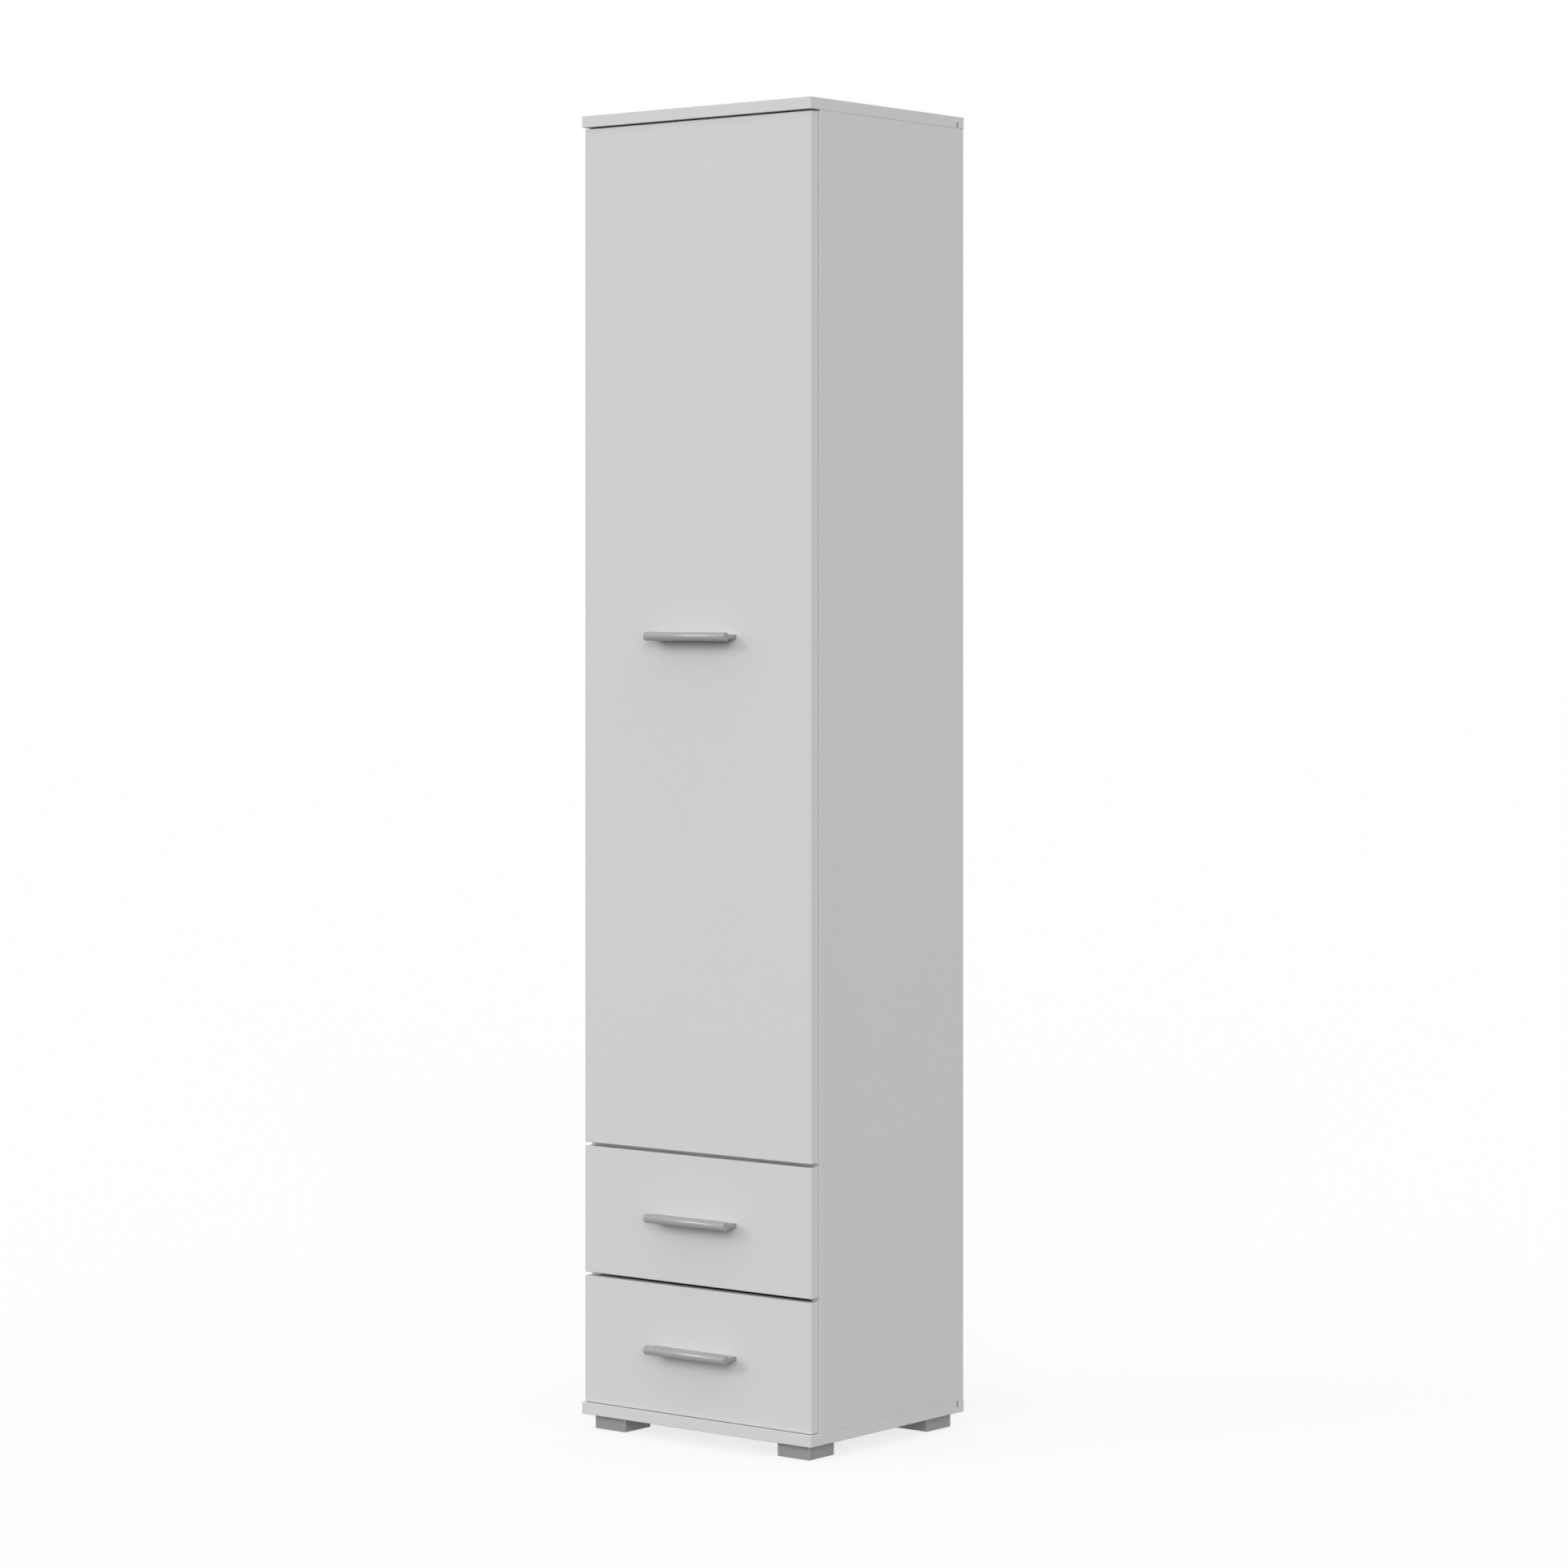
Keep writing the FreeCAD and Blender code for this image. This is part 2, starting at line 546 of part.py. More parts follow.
    screw_line = FRONT_TO_SIDE + PLATE_SCREW_INSET
    half_plate = PLATE_WIDTH / 2
    half_wing = PLATE_LENGTH / 2
    half_ridge = half_body - ARM_LIP - ARM_LIP_CLEARANCE
    wings_end = SIDE_FACE + PLATE_THICKNESS
    wings_near = screw_line - half_plate
    wings_far = screw_line + half_plate
    wings = local_block(SIDE_FACE, wings_end, wings_near, wings_far, -half_wing, half_wing)
    ridge = local_block(SIDE_FACE, ARM_INNER, ARM_BODY_START, body_end, -half_ridge, half_ridge)
    plate = wings.fuse(ridge)
    for step in (-1, 1):
        seat = at(wings_end, screw_line, step * PLATE_SCREW_SPACING / 2)
        piece, shank = screw(seat, V(-1, 0, 0), PLATE_THICKNESS + PLATE_SCREW_BITE)
        add("hinge_plate_screws", piece)
        plate = plate.cut(shank)
        drill("left_side_panel", shank)
    for y in (ARM_BODY_START + ARM_SCREW_INSET, body_end - ARM_SCREW_INSET):
        piece, shank = screw(at(ARM_OUTER, y), V(-1, 0, 0), ARM_THICKNESS + ARM_SCREW_BITE)
        add("hinge_arm_screws", piece)
        arm = arm.cut(shank)
        plate = plate.cut(shank)
    add("hinge_arms", arm.removeSplitter())
    add("hinge_plates", plate.removeSplitter())


for z in (Z_DOOR + HINGE_END, (Z_DOOR + Z_DOOR_TOP) / 2, Z_DOOR_TOP - HINGE_END):
    hinge(z)

# Bumpers sunk in the free edge of the door
bumper_x = X_FRONT - BUMPER_INSET
for z in (Z_DOOR + BUMPER_END, Z_DOOR_TOP - BUMPER_END):
    bumper_base = V(bumper_x, Y_INNER_FACE - BUMPER_SINK, z)
    bumper_top = V(bumper_x, Y_SIDE_FRONT - BUMPER_CLEARANCE, z)
    bumper = bar(bumper_base, bumper_top, BUMPER_RADIUS, BUMPER_SIDES)
    add("door_bumpers", bumper)
    drill("door_panel", bumper)

# Heights in a runner, above the track that its rear roller runs on
FRONT_AXLE_RISE = ROLLER_RADIUS + RAIL_PLAY
REAR_AXLE_RISE = ROLLER_RADIUS + ROLLER_PLAY
TRACK_RISE = FRONT_AXLE_RISE + ROLLER_RADIUS + ROLLER_PLAY
RAIL_INSIDE = TRACK_RISE + RAIL_STEEL + RAIL_PLAY
Y_RAIL = Y_SIDE_FRONT + RAIL_SETBACK
Y_DRAWER_REAR = Y_INNER_FACE + DRAWER_DEPTH
Y_FRONT_AXLE = Y_RAIL + AXLE_INSET
Y_REAR_AXLE = Y_DRAWER_REAR - AXLE_INSET
ROLLER_END = ROLLER_START + ROLLER_WIDTH


def roller(x_near, x_far, y, z):
    """Round roller with a running bore for its axle."""
    near = V(x_near, y, z)
    far = V(x_far, y, z)
    tread = rod(near, far, ROLLER_RADIUS)
    return tread.cut(bar(near, far, AXLE_RADIUS + AXLE_PLAY, AXLE_SIDES))


def runner(prefix, name, hand, track):
    """Fixed rail, drawer rail and both rollers on one side of a drawer."""

    def across(gap):
        return hand * (X_IN - gap)

    def section(points, y0, y1):
        ring = [V(across(gap), y0, track + rise) for gap, rise in points]
        return slab(ring, V(0, y1 - y0, 0))

    inner_top = RAIL_INSIDE
    fixed_points = [
        (0, -RAIL_STEEL),
        (RAIL_FLANGE, -RAIL_STEEL),
        (RAIL_FLANGE, 0),
        (RAIL_STEEL, 0),
        (RAIL_STEEL, inner_top),
        (RAIL_FLANGE, inner_top),
        (RAIL_FLANGE, inner_top + RAIL_STEEL),
        (0, inner_top + RAIL_STEEL),
    ]
    rail_node = prefix + "_" + name + "_cabinet_rail"
    rail = section(fixed_points, Y_RAIL, Y_RAIL + RAIL_LENGTH)
    front_z = track + FRONT_AXLE_RISE
    axle_tip = across(ROLLER_END + AXLE_PROUD)
    axle_root = V(across(RAIL_STEEL), Y_FRONT_AXLE, front_z)
    axle = bar(axle_root, V(axle_tip, Y_FRONT_AXLE, front_z), AXLE_RADIUS, AXLE_SIDES)
    stop_drop = REAR_AXLE_RISE - STOP_HEIGHT
    stop_run = math.sqrt(ROLLER_RADIUS ** 2 - stop_drop ** 2)
    stop_y = Y_REAR_AXLE - DRAWER_TRAVEL - stop_run - ROLLER_PLAY
    stop_front = stop_y - STOP_LENGTH
    stop_top = track + STOP_HEIGHT
    stop = block(across(RAIL_STEEL), across(RAIL_FLANGE), stop_front, stop_y, track, stop_top)
    boards[rail_node] = rail.fuse([axle, stop]).removeSplitter()
    first_screw = Y_SIDE_FRONT + RAIL_SCREW_INSET
    for y in (first_screw, first_screw + RAIL_SCREW_SPACING):
        seat = V(across(RAIL_STEEL), y, track + inner_top / 2)
        piece, shank = screw(seat, V(hand, 0, 0), RAIL_STEEL + RAIL_SCREW_BITE)
        add("rail_screws", piece)
        drill(rail_node, shank)
        drill(name + "_side_panel", shank)

    web = RUNNER_GAP - RAIL_STEEL
    shelf_end = RUNNER_GAP + DRAWER_BOARD
    drawer_points = [
        (shelf_end, DRAWER_LIFT),
        (shelf_end, DRAWER_LIFT - RAIL_STEEL),
        (web, DRAWER_LIFT - RAIL_STEEL),
        (web, TRACK_RISE),
        (TRACK_START, TRACK_RISE),
        (TRACK_START, TRACK_RISE + RAIL_STEEL),
        (RUNNER_GAP, TRACK_RISE + RAIL_STEEL),
        (RUNNER_GAP, DRAWER_LIFT),
    ]
    rear_z = track + REAR_AXLE_RISE
    moving = section(drawer_points, Y_RAIL, Y_DRAWER_REAR)
    stub_tip = across(ROLLER_START - AXLE_PROUD)
    stub_root = V(across(web), Y_REAR_AXLE, rear_z)
    stub = bar(stub_root, V(stub_tip, Y_REAR_AXLE, rear_z), AXLE_RADIUS, AXLE_SIDES)
    moving = moving.fuse(stub)
    x_middle = across(RUNNER_GAP + DRAWER_BOARD / 2)
    for y in (Y_RAIL + RAIL_SCREW_INSET, Y_DRAWER_REAR - RAIL_SCREW_INSET):
        seat = V(x_middle, y, track + DRAWER_LIFT - RAIL_STEEL)
        piece, shank = screw(seat, V(0, 0, 1), RAIL_STEEL + DRAWER_RAIL_SCREW_BITE)
        add(prefix + "_drawer_fasteners", piece)
        moving = moving.cut(shank)
        drill(prefix + "_drawer_" + name + "_side", shank)
    add(prefix + "_drawer_rails", moving.removeSplitter())
    near = across(ROLLER_START)
    far = across(ROLLER_END)
    add(prefix + "_front_rollers", roller(near, far, Y_FRONT_AXLE, front_z))
    add(prefix + "_rear_rollers", roller(near, far, Y_REAR_AXLE, rear_z))


def drawer(prefix, z_front):
    """Drawer box on the back of its front, with its runners."""
    front_node = prefix + "_drawer_front"
    front(front_node, z_front, z_front + DRAWER_FRONT_HEIGHT, prefix + "_drawer")
    z0 = z_front + DRAWER_SIDE_RISE
    z1 = z0 + DRAWER_SIDE_HEIGHT
    outer = X_IN - RUNNER_GAP
    inner = outer - DRAWER_BOARD
    z_bottom = z0 + DRAWER_BOTTOM_RISE
    z_bottom_top = z_bottom + DRAWER_BOTTOM_BOARD
    groove_low = z_bottom - GROOVE_PLAY
    groove_high = z_bottom_top + GROOVE_PLAY
    groove_reach = inner + DRAWER_GROOVE
    bottom_reach = groove_reach - GROOVE_END_PLAY
    groove_start = Y_INNER_FACE - DRAWER_GROOVE
    bottom_start = groove_start + GROOVE_END_PLAY
    back_node = prefix + "_drawer_back"
    fasteners = prefix + "_drawer_fasteners"
    boards[prefix + "_drawer_bottom"] = block(
        -bottom_reach, bottom_reach, bottom_start, Y_DRAWER_REAR, z_bottom, z_bottom_top
    )
    y_back = Y_DRAWER_REAR - DRAWER_BOARD
    boards[back_node] = block(-inner, inner, y_back, Y_DRAWER_REAR, groove_high, z1)
    groove_mouth = Y_INNER_FACE + OVERRUN
    drill(front_node, block(-groove_reach, groove_reach, groove_start, groove_mouth, groove_low, groove_high))
    for name, hand in HANDS.items():
        side = prefix + "_drawer_" + name + "_side"
        boards[side] = panel(BOARD_EDGE, hand * inner, hand * outer, Y_INNER_FACE, Y_DRAWER_REAR, z0, z1)
        groove_in = hand * (inner - OVERRUN)
        groove_out = hand * groove_reach
        groove_near = Y_INNER_FACE - OVERRUN
        groove_far = Y_DRAWER_REAR + OVERRUN
        drill(side, block(groove_in, groove_out, groove_near, groove_far, groove_low, groove_high))
        face = V(hand * inner, Y_INNER_FACE + CAM_BACKSET, z0 + DRAWER_CAM_RISE)
        size = (DRAWER_CAM_RADIUS, DRAWER_CAM_DEPTH, DRAWER_BOARD / 2)
        outward = V(hand, 0, 0)
        toward = V(0, -1, 0)
        cam_joint(face, outward, toward, size, side, front_node, fasteners, fasteners)
        seam = V(hand * (inner + DRAWER_BOARD / 2), Y_INNER_FACE, z0 + DRAWER_DOWEL_RISE)
        dowel(fasteners, seam, toward, DRAWER_DOWEL_RADIUS, side, front_node)
        for rise in DRAWER_SCREW_RISES:
            seat = V(hand * outer, y_back + DRAWER_BOARD / 2, z0 + rise)
            piece, shank = screw(seat, -outward, DRAWER_BOARD + DRAWER_SCREW_BITE)
            add(fasteners, piece)
            drill(side, shank)
            drill(back_node, shank)
        runner(prefix, name, hand, z0 - DRAWER_LIFT)


drawer("upper", Z_UPPER_FRONT)
drawer("lower", Z_LOWER_FRONT)

# Wall angle: one leg up against the top, the other flat on the back
half_bracket = BRACKET_WIDTH / 2
bracket_points = [
    V(-half_bracket, Y_BACK_FRONT, Z_CEILING),
    V(-half_bracket, Y_BACK_FRONT, Z_CEILING - BRACKET_LEG),
    V(-half_bracket, Y_BACK_FRONT - BRACKET_STEEL, Z_CEILING - BRACKET_LEG),
    V(-half_bracket, Y_BACK_FRONT - BRACKET_STEEL, Z_CEILING - BRACKET_STEEL),
    V(-half_bracket, Y_BACK_FRONT - BRACKET_LEG, Z_CEILING - BRACKET_STEEL),
    V(-half_bracket, Y_BACK_FRONT - BRACKET_LEG, Z_CEILING),
]
boards["wall_bracket"] = slab(bracket_points, V(BRACKET_WIDTH, 0, 0))
bore_z = Z_CEILING - BRACKET_HOLE_DROP
bore_front = V(0, Y_BACK_FRONT - BRACKET_STEEL - OVERRUN, bore_z)
wall_bore = rod(bore_front, V(0, Y_BACK_REAR + OVERRUN, bore_z), BRACKET_HOLE_RADIUS)
drill("wall_bracket", wall_bore)
drill("back_panel", wall_bore)
for step in (-1, 1):
    seat_y = Y_BACK_FRONT - BRACKET_LEG / 2
    seat = V(step * BRACKET_SCREW_SPACING / 2, seat_y, Z_CEILING - BRACKET_STEEL)
    piece, shank = screw(seat, V(0, 0, 1), BRACKET_STEEL + BRACKET_SCREW_BITE)
    add("wall_bracket_screws", piece)
    drill("wall_bracket", shank)
    drill("top_panel", shank)

# Drill the boards and write one file for each piece or group of like pieces
os.makedirs("parts", exist_ok=True)
for node, blank in boards.items():
    shape = blank.cut(holes[node]) if node in holes else blank
    shape.exportStep("parts/" + node + ".step")
for node, solids in groups.items():
    Part.makeCompound(solids).exportStep("parts/" + node + ".step")
print(len(boards) + len(groups), "nodes")
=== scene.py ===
import bmesh
import bpy
import math
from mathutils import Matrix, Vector


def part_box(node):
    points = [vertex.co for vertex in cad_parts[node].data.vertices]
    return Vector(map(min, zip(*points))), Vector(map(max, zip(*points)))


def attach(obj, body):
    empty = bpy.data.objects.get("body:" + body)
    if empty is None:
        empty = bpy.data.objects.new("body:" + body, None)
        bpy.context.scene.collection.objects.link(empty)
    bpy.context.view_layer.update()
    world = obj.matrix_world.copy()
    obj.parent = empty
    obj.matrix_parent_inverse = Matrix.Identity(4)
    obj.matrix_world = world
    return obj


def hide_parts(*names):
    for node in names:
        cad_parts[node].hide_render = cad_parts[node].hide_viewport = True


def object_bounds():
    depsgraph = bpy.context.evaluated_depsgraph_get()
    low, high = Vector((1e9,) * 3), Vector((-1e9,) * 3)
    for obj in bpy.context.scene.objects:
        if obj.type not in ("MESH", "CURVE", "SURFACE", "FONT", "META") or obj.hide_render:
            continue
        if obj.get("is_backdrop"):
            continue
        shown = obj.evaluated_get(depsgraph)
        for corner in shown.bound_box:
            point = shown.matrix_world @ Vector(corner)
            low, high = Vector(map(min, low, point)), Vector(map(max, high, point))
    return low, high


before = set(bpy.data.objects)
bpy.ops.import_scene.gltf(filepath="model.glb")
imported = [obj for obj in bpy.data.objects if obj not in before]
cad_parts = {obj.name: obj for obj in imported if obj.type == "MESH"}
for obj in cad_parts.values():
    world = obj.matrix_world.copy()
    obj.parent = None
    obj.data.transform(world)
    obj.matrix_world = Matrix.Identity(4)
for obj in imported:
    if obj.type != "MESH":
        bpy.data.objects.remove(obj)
cad_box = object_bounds()

# Carcass boards: 16 mm chipboard faced on both sides with pale grey-white melamine.
# A thin edge band is pressed on every cut edge and trimmed flush, which leaves a fine seam round each face.
# The sides stand between top and bottom; divider and fixed shelf hang between them on cams and dowels.
CARCASS_BOARDS = (
    "top_panel",
    "bottom_panel",
    "left_side_panel",
    "right_side_panel",
    "divider_panel",
    "fixed_shelf",
)
MELAMINE = (0.600, 0.600, 0.600)
MELAMINE_GLOSS = 0.35
MELAMINE_WAVES = 3.0
MELAMINE_TONES = (0.988, 1.012)
FACING = 0.0004
EDGE_BAND = 0.0008
EDGE_SEAM = 0.00025
BAND_LIFT = 0.008
SEAM_DROP = -0.22
CHIPBOARD = (0.37, 0.355, 0.335)
CHIP_WAVES = 700.0
CHIP_TONES = (0.35, 1.65)
PEARL_WAVES = 900.0
PEARL_ROUGHNESS = (0.44, 0.58)
PEARL_DEPTH = 0.00004


def add_node(tree, kind, sockets=None, **settings):
    """One more node in a tree; an input given as an output socket is linked, any other value is set."""
    made = tree.nodes.new(kind)
    for name, value in settings.items():
        setattr(made, name, value)
    for name, value in (sockets or {}).items():
        if isinstance(value, bpy.types.NodeSocket):
            tree.links.new(value, made.inputs[name])
        else:
            made.inputs[name].default_value = value
    return made


def calc(tree, operation, *values):
    """Result of one sum in a node tree."""
    return add_node(tree, "ShaderNodeMath", dict(enumerate(values)), operation=operation).outputs[0]


def ranged(tree, value, low, high):
    """A value from 0 to 1 spread between two limits."""
    sockets = {"Value": value, "To Min": low, "To Max": high}
    return add_node(tree, "ShaderNodeMapRange", sockets).outputs["Result"]


def new_finish(name):
    """Empty material with its tree, its shader and the piece's own coordinates."""
    finish = bpy.data.materials.new(name)
    finish.use_nodes = True
    tree = finish.node_tree
    shader = tree.nodes["Principled BSDF"]
    return finish, tree, shader, add_node(tree, "ShaderNodeTexCoord").outputs["Object"]


def grain(tree, place, waves, detail=2.0):
    """Soft noise at a number of waves to the metre."""
    sockets = {"Vector": place, "Scale": waves, "Detail": detail}
    return add_node(tree, "ShaderNodeTexNoise", sockets).outputs["Fac"]


def stretched(tree, place, scale):
    """Coordinates in which a pattern is drawn out along the axes with a small scale."""
    return add_node(tree, "ShaderNodeMapping", {"Vector": place, "Scale": scale}).outputs[0]


def roughen(tree, shader, height, depth):
    """Raise a surface by a pattern, to a depth in metres."""
    sockets = {"Height": height, "Distance": depth, "Strength": 1.0}
    tree.links.new(add_node(tree, "ShaderNodeBump", sockets).outputs["Normal"], shader.inputs["Normal"])


def vary_gloss(tree, shader, pattern, roughness):
    """Let a pattern carry the roughness between two limits."""
    tree.links.new(ranged(tree, pattern, *roughness), shader.inputs["Roughness"])


def shade(tree, colour, tone):
    """One colour, made lighter or darker by a tone round 1."""
    return add_node(tree, "ShaderNodeVectorMath", {0: colour, "Scale": tone}, operation="SCALE").outputs[0]


def blended(tree, share, first, second):
    """First colour where the share is 0, second where it is 1."""
    # A mix node keeps its vectors in inputs 4 and 5 and in output 1
    sockets = {"Factor": share, 4: first, 5: second}
    return add_node(tree, "ShaderNodeMix", sockets, data_type="VECTOR").outputs[1]


def tint(tree, shader, colour, tone):
    """Paint a shader with a shaded colour."""
    tree.links.new(shade(tree, colour, tone), shader.inputs["Base Color"])


def melamine(node, colour, facing_depth=FACING):
    """Faced board: edge bands and seams follow its own box; chips show in cuts deeper than the facing."""
    low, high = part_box(node)
    half = (high - low) / 2
    finish, tree, shader, place = new_finish(node + "_melamine")
    sockets = {"Vector": place, "Location": -(low + high) / 2}
    centred = add_node(tree, "ShaderNodeMapping", sockets).outputs[0]
    depth = add_node(tree, "ShaderNodeVectorMath", {0: centred}, operation="ABSOLUTE").outputs[0]
    depth = add_node(tree, "ShaderNodeVectorMath", {0: half, 1: depth}, operation="SUBTRACT").outputs[0]
    depths = add_node(tree, "ShaderNodeSeparateXYZ", {0: depth}).outputs
    across = [depths[k] for k in range(3) if half[k] > min(half)]
    to_edge = calc(tree, "MINIMUM", *across)
    band = calc(tree, "LESS_THAN", to_edge, EDGE_BAND)
    seam = calc(tree, "COMPARE", to_edge, EDGE_BAND, EDGE_SEAM / 2)
    tone = ranged(tree, grain(tree, place, MELAMINE_WAVES), *MELAMINE_TONES)
    tone = calc(tree, "MULTIPLY_ADD", band, BAND_LIFT, tone)
    tone = calc(tree, "MULTIPLY_ADD", seam, SEAM_DROP, tone)
    chips = ranged(tree, grain(tree, place, CHIP_WAVES, detail=4.0), *CHIP_TONES)
    to_face = calc(tree, "MINIMUM", calc(tree, "MINIMUM", depths[0], depths[1]), depths[2])
    cut = calc(tree, "GREATER_THAN", to_face, facing_depth)
    surface = blended(tree, cut, shade(tree, colour, tone), shade(tree, CHIPBOARD, chips))
    tree.links.new(surface, shader.inputs["Base Color"])
    shader.inputs["Specular IOR Level"].default_value = MELAMINE_GLOSS
    pearl = grain(tree, place, PEARL_WAVES, detail=3.0)
    vary_gloss(tree, shader, pearl, PEARL_ROUGHNESS)
    roughen(tree, shader, pearl, PEARL_DEPTH)
    return finish


def paint(node, finish):
    """Give a CAD node a finish."""
    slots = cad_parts[node].data.materials
    slots.clear()
    slots.append(finish)


for board in CARCASS_BOARDS:
    paint(board, melamine(board, MELAMINE))

# Loose shelves: the same faced board, cut 1 mm short at each end so that it lifts out.
# They lie on four pins each and aren't fixed.
for shelf in ("lower_shelf", "middle_shelf", "upper_shelf"):
    paint(shelf, melamine(shelf, MELAMINE))

# Back panel: 3 mm hardboard, lacquered pale on the inside and left raw and brown at the rear.
# It slides into grooves in all four boards and squares the carcass.
RAW_FIBRE = (0.235, 0.142, 0.075)
LACQUER = (0.560, 0.560, 0.555)
FIBRE_STRETCH = (1.0, 1.0, 0.35)
FIBRE_WAVES = 420.0
FIBRE_TONES = (0.45, 1.55)
FIBRE_DEPTH = 0.00012
PATCH_WAVES = 9.0
RAW_PATCHES = (0.85, 1.15)
LACQUER_PATCHES = (0.98, 1.02)
LACQUER_TO_RAW_ROUGHNESS = (0.45, 0.8)


def hardboard(node, axis, raw_above):
    """Thin pressed fibre board, raw on one side of its middle along an axis and lacquered on the other."""
    finish, tree, shader, place = new_finish(node + "_hardboard")
    low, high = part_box(node)
    level = (low[axis] + high[axis]) / 2
    spot = add_node(tree, "ShaderNodeSeparateXYZ", {0: place}).outputs[axis]
    raw = calc(tree, "GREATER_THAN" if raw_above else "LESS_THAN", spot, level)
    fibres = grain(tree, stretched(tree, place, FIBRE_STRETCH), FIBRE_WAVES, detail=6.0)
    patches = grain(tree, place, PATCH_WAVES, detail=3.0)
    mottle = calc(tree, "MULTIPLY", ranged(tree, fibres, *FIBRE_TONES), ranged(tree, patches, *RAW_PATCHES))
    lacquer = shade(tree, LACQUER, ranged(tree, patches, *LACQUER_PATCHES))
    surface = blended(tree, raw, lacquer, shade(tree, RAW_FIBRE, mottle))
    tree.links.new(surface, shader.inputs["Base Color"])
    vary_gloss(tree, shader, raw, LACQUER_TO_RAW_ROUGHNESS)
    roughen(tree, shader, calc(tree, "MULTIPLY", fibres, raw), FIBRE_DEPTH)
    return finish


paint("back_panel", hardboard("back_panel", 1, True))

# Dowels: fluted beech pegs, 8 mm thick, glued into the ends of the boards.
# Only their ends meet the air before the cabinet is put together.
BEECH = (0.52, 0.33, 0.18)
BEECH_ROUGHNESS = 0.6
FLECK_STRETCH = (1.0, 1.0, 0.15)
FLECK_WAVES = 900.0
FLECK_TONES = (0.75, 1.25)
FLECK_DEPTH = 0.00005


def beech(name):
    """Pale brown wood with fine short flecks along the peg."""
    finish, tree, shader, place = new_finish(name)
    flecks = grain(tree, stretched(tree, place, FLECK_STRETCH), FLECK_WAVES, detail=4.0)
    tint(tree, shader, BEECH, ranged(tree, flecks, *FLECK_TONES))
    shader.inputs["Roughness"].default_value = BEECH_ROUGHNESS
    roughen(tree, shader, flecks, FLECK_DEPTH)
    return finish


dowel_wood = beech("dowel_beech")
paint("dowels", dowel_wood)

# Cam discs and their bolts: cast zinc discs, 15 mm wide, sunk flush in the boards.
# A quarter turn of the cross slot pulls the steel bolt that is screwed into the next board.
ZINC = (0.50, 0.50, 0.49)
ZINC_ROUGHNESS = (0.42, 0.62)
ZINC_WAVES = 1500.0
STEEL = (0.56, 0.56, 0.55)
STEEL_ROUGHNESS = (0.22, 0.38)
STEEL_WAVES = 800.0
METAL_WAVES = 60.0
METAL_TONES = (0.93, 1.07)
METAL_DEPTH = 0.00002
CAM_RADIUS = 0.0075
CAM_DEPTH = 0.0125
CAM_SIDES = 32
CAM_RIM = 0.0004
CAM_FACE_SHARE = 0.95
CAM_RECESS = 0.0072
CAM_SLOT_WIDTH = 0.24
CAM_SLOT_DEPTH = 0.4
SMOOTH_BELOW = 35.0
MERGE = 1e-6


def metal(name, colour, roughness, waves):
    """Bare metal with a fine uneven gloss between two roughnesses."""
    finish, tree, shader, place = new_finish(name)
    shader.inputs["Metallic"].default_value = 1.0
    skin = grain(tree, place, waves, detail=3.0)
    tint(tree, shader, colour, ranged(tree, grain(tree, place, METAL_WAVES), *METAL_TONES))
    vary_gloss(tree, shader, skin, roughness)
    roughen(tree, shader, skin, METAL_DEPTH)
    return finish


cast_zinc = metal("cast_zinc", ZINC, ZINC_ROUGHNESS, ZINC_WAVES)
plated_steel = metal("plated_steel", STEEL, STEEL_ROUGHNESS, STEEL_WAVES)


def merged(node):
    """Copy of a CAD node with its loose triangles joined up."""
    form = bmesh.new()
    form.from_mesh(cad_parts[node].data)
    bmesh.ops.remove_doubles(form, verts=form.verts, dist=MERGE)
    return form


def solids(node):
    """Lowest and highest corner of each separate solid in a CAD node."""
    form = merged(node)
    left = set(form.verts)
    boxes = []
    while left:
        found = {left.pop()}
        edge = list(found)
        while edge:
            vert = edge.pop()
            near = {e.other_vert(vert) for e in vert.link_edges} & left
            left -= near
            found |= near
            edge.extend(near)
        corners = [v.co.copy() for v in found]
        low = Vector(min(c[k] for c in corners) for k in range(3))
        high = Vector(max(c[k] for c in corners) for k in range(3))
        boxes.append((low, high))
    form.free()
    return sorted(boxes, key=lambda box: tuple(box[0]))


def new_shape(name, *sizes):
    """Start a node tree that sets one shape on every seat; returns the tree and its inputs."""
    tree = bpy.data.node_groups.new(name, "GeometryNodeTree")
    tree.interface.new_socket("Seats", in_out="INPUT", socket_type="NodeSocketGeometry")
    for size in sizes:
        tree.interface.new_socket(size, in_out="INPUT", socket_type="NodeSocketFloat")
    tree.interface.new_socket("Finish", in_out="INPUT", socket_type="NodeSocketMaterial")
    tree.interface.new_socket("Pieces", in_out="OUTPUT", socket_type="NodeSocketGeometry")
    return tree, tree.nodes.new("NodeGroupInput").outputs


def end_shape(tree, inputs, shape):
    """Turn the shape to face each seat's aim, make the copies real and paint them."""
    aim = add_node(tree, "GeometryNodeInputNamedAttribute", {"Name": "aim"}, data_type="FLOAT_VECTOR")
    sockets = {"Vector": aim.outputs[0]}
    turn = add_node(tree, "FunctionNodeAlignRotationToVector", sockets, axis="Z").outputs[0]
    seats = {"Points": inputs["Seats"], "Instance": shape, "Rotation": turn}
    copies = add_node(tree, "GeometryNodeInstanceOnPoints", seats).outputs[0]
    real = add_node(tree, "GeometryNodeRealizeInstances", {"Geometry": copies}).outputs[0]
    sockets = {"Geometry": real, "Material": inputs["Finish"]}
    painted = add_node(tree, "GeometryNodeSetMaterial", sockets).outputs[0]
    add_node(tree, "NodeGroupOutput", {"Pieces": painted})
    return tree


def lifted(tree, shape, height):
    """Shape moved up by a height."""
    up = add_node(tree, "ShaderNodeCombineXYZ", {"Z": height}).outputs[0]
    return add_node(tree, "GeometryNodeTransform", {"Geometry": shape, "Translation": up}).outputs[0]


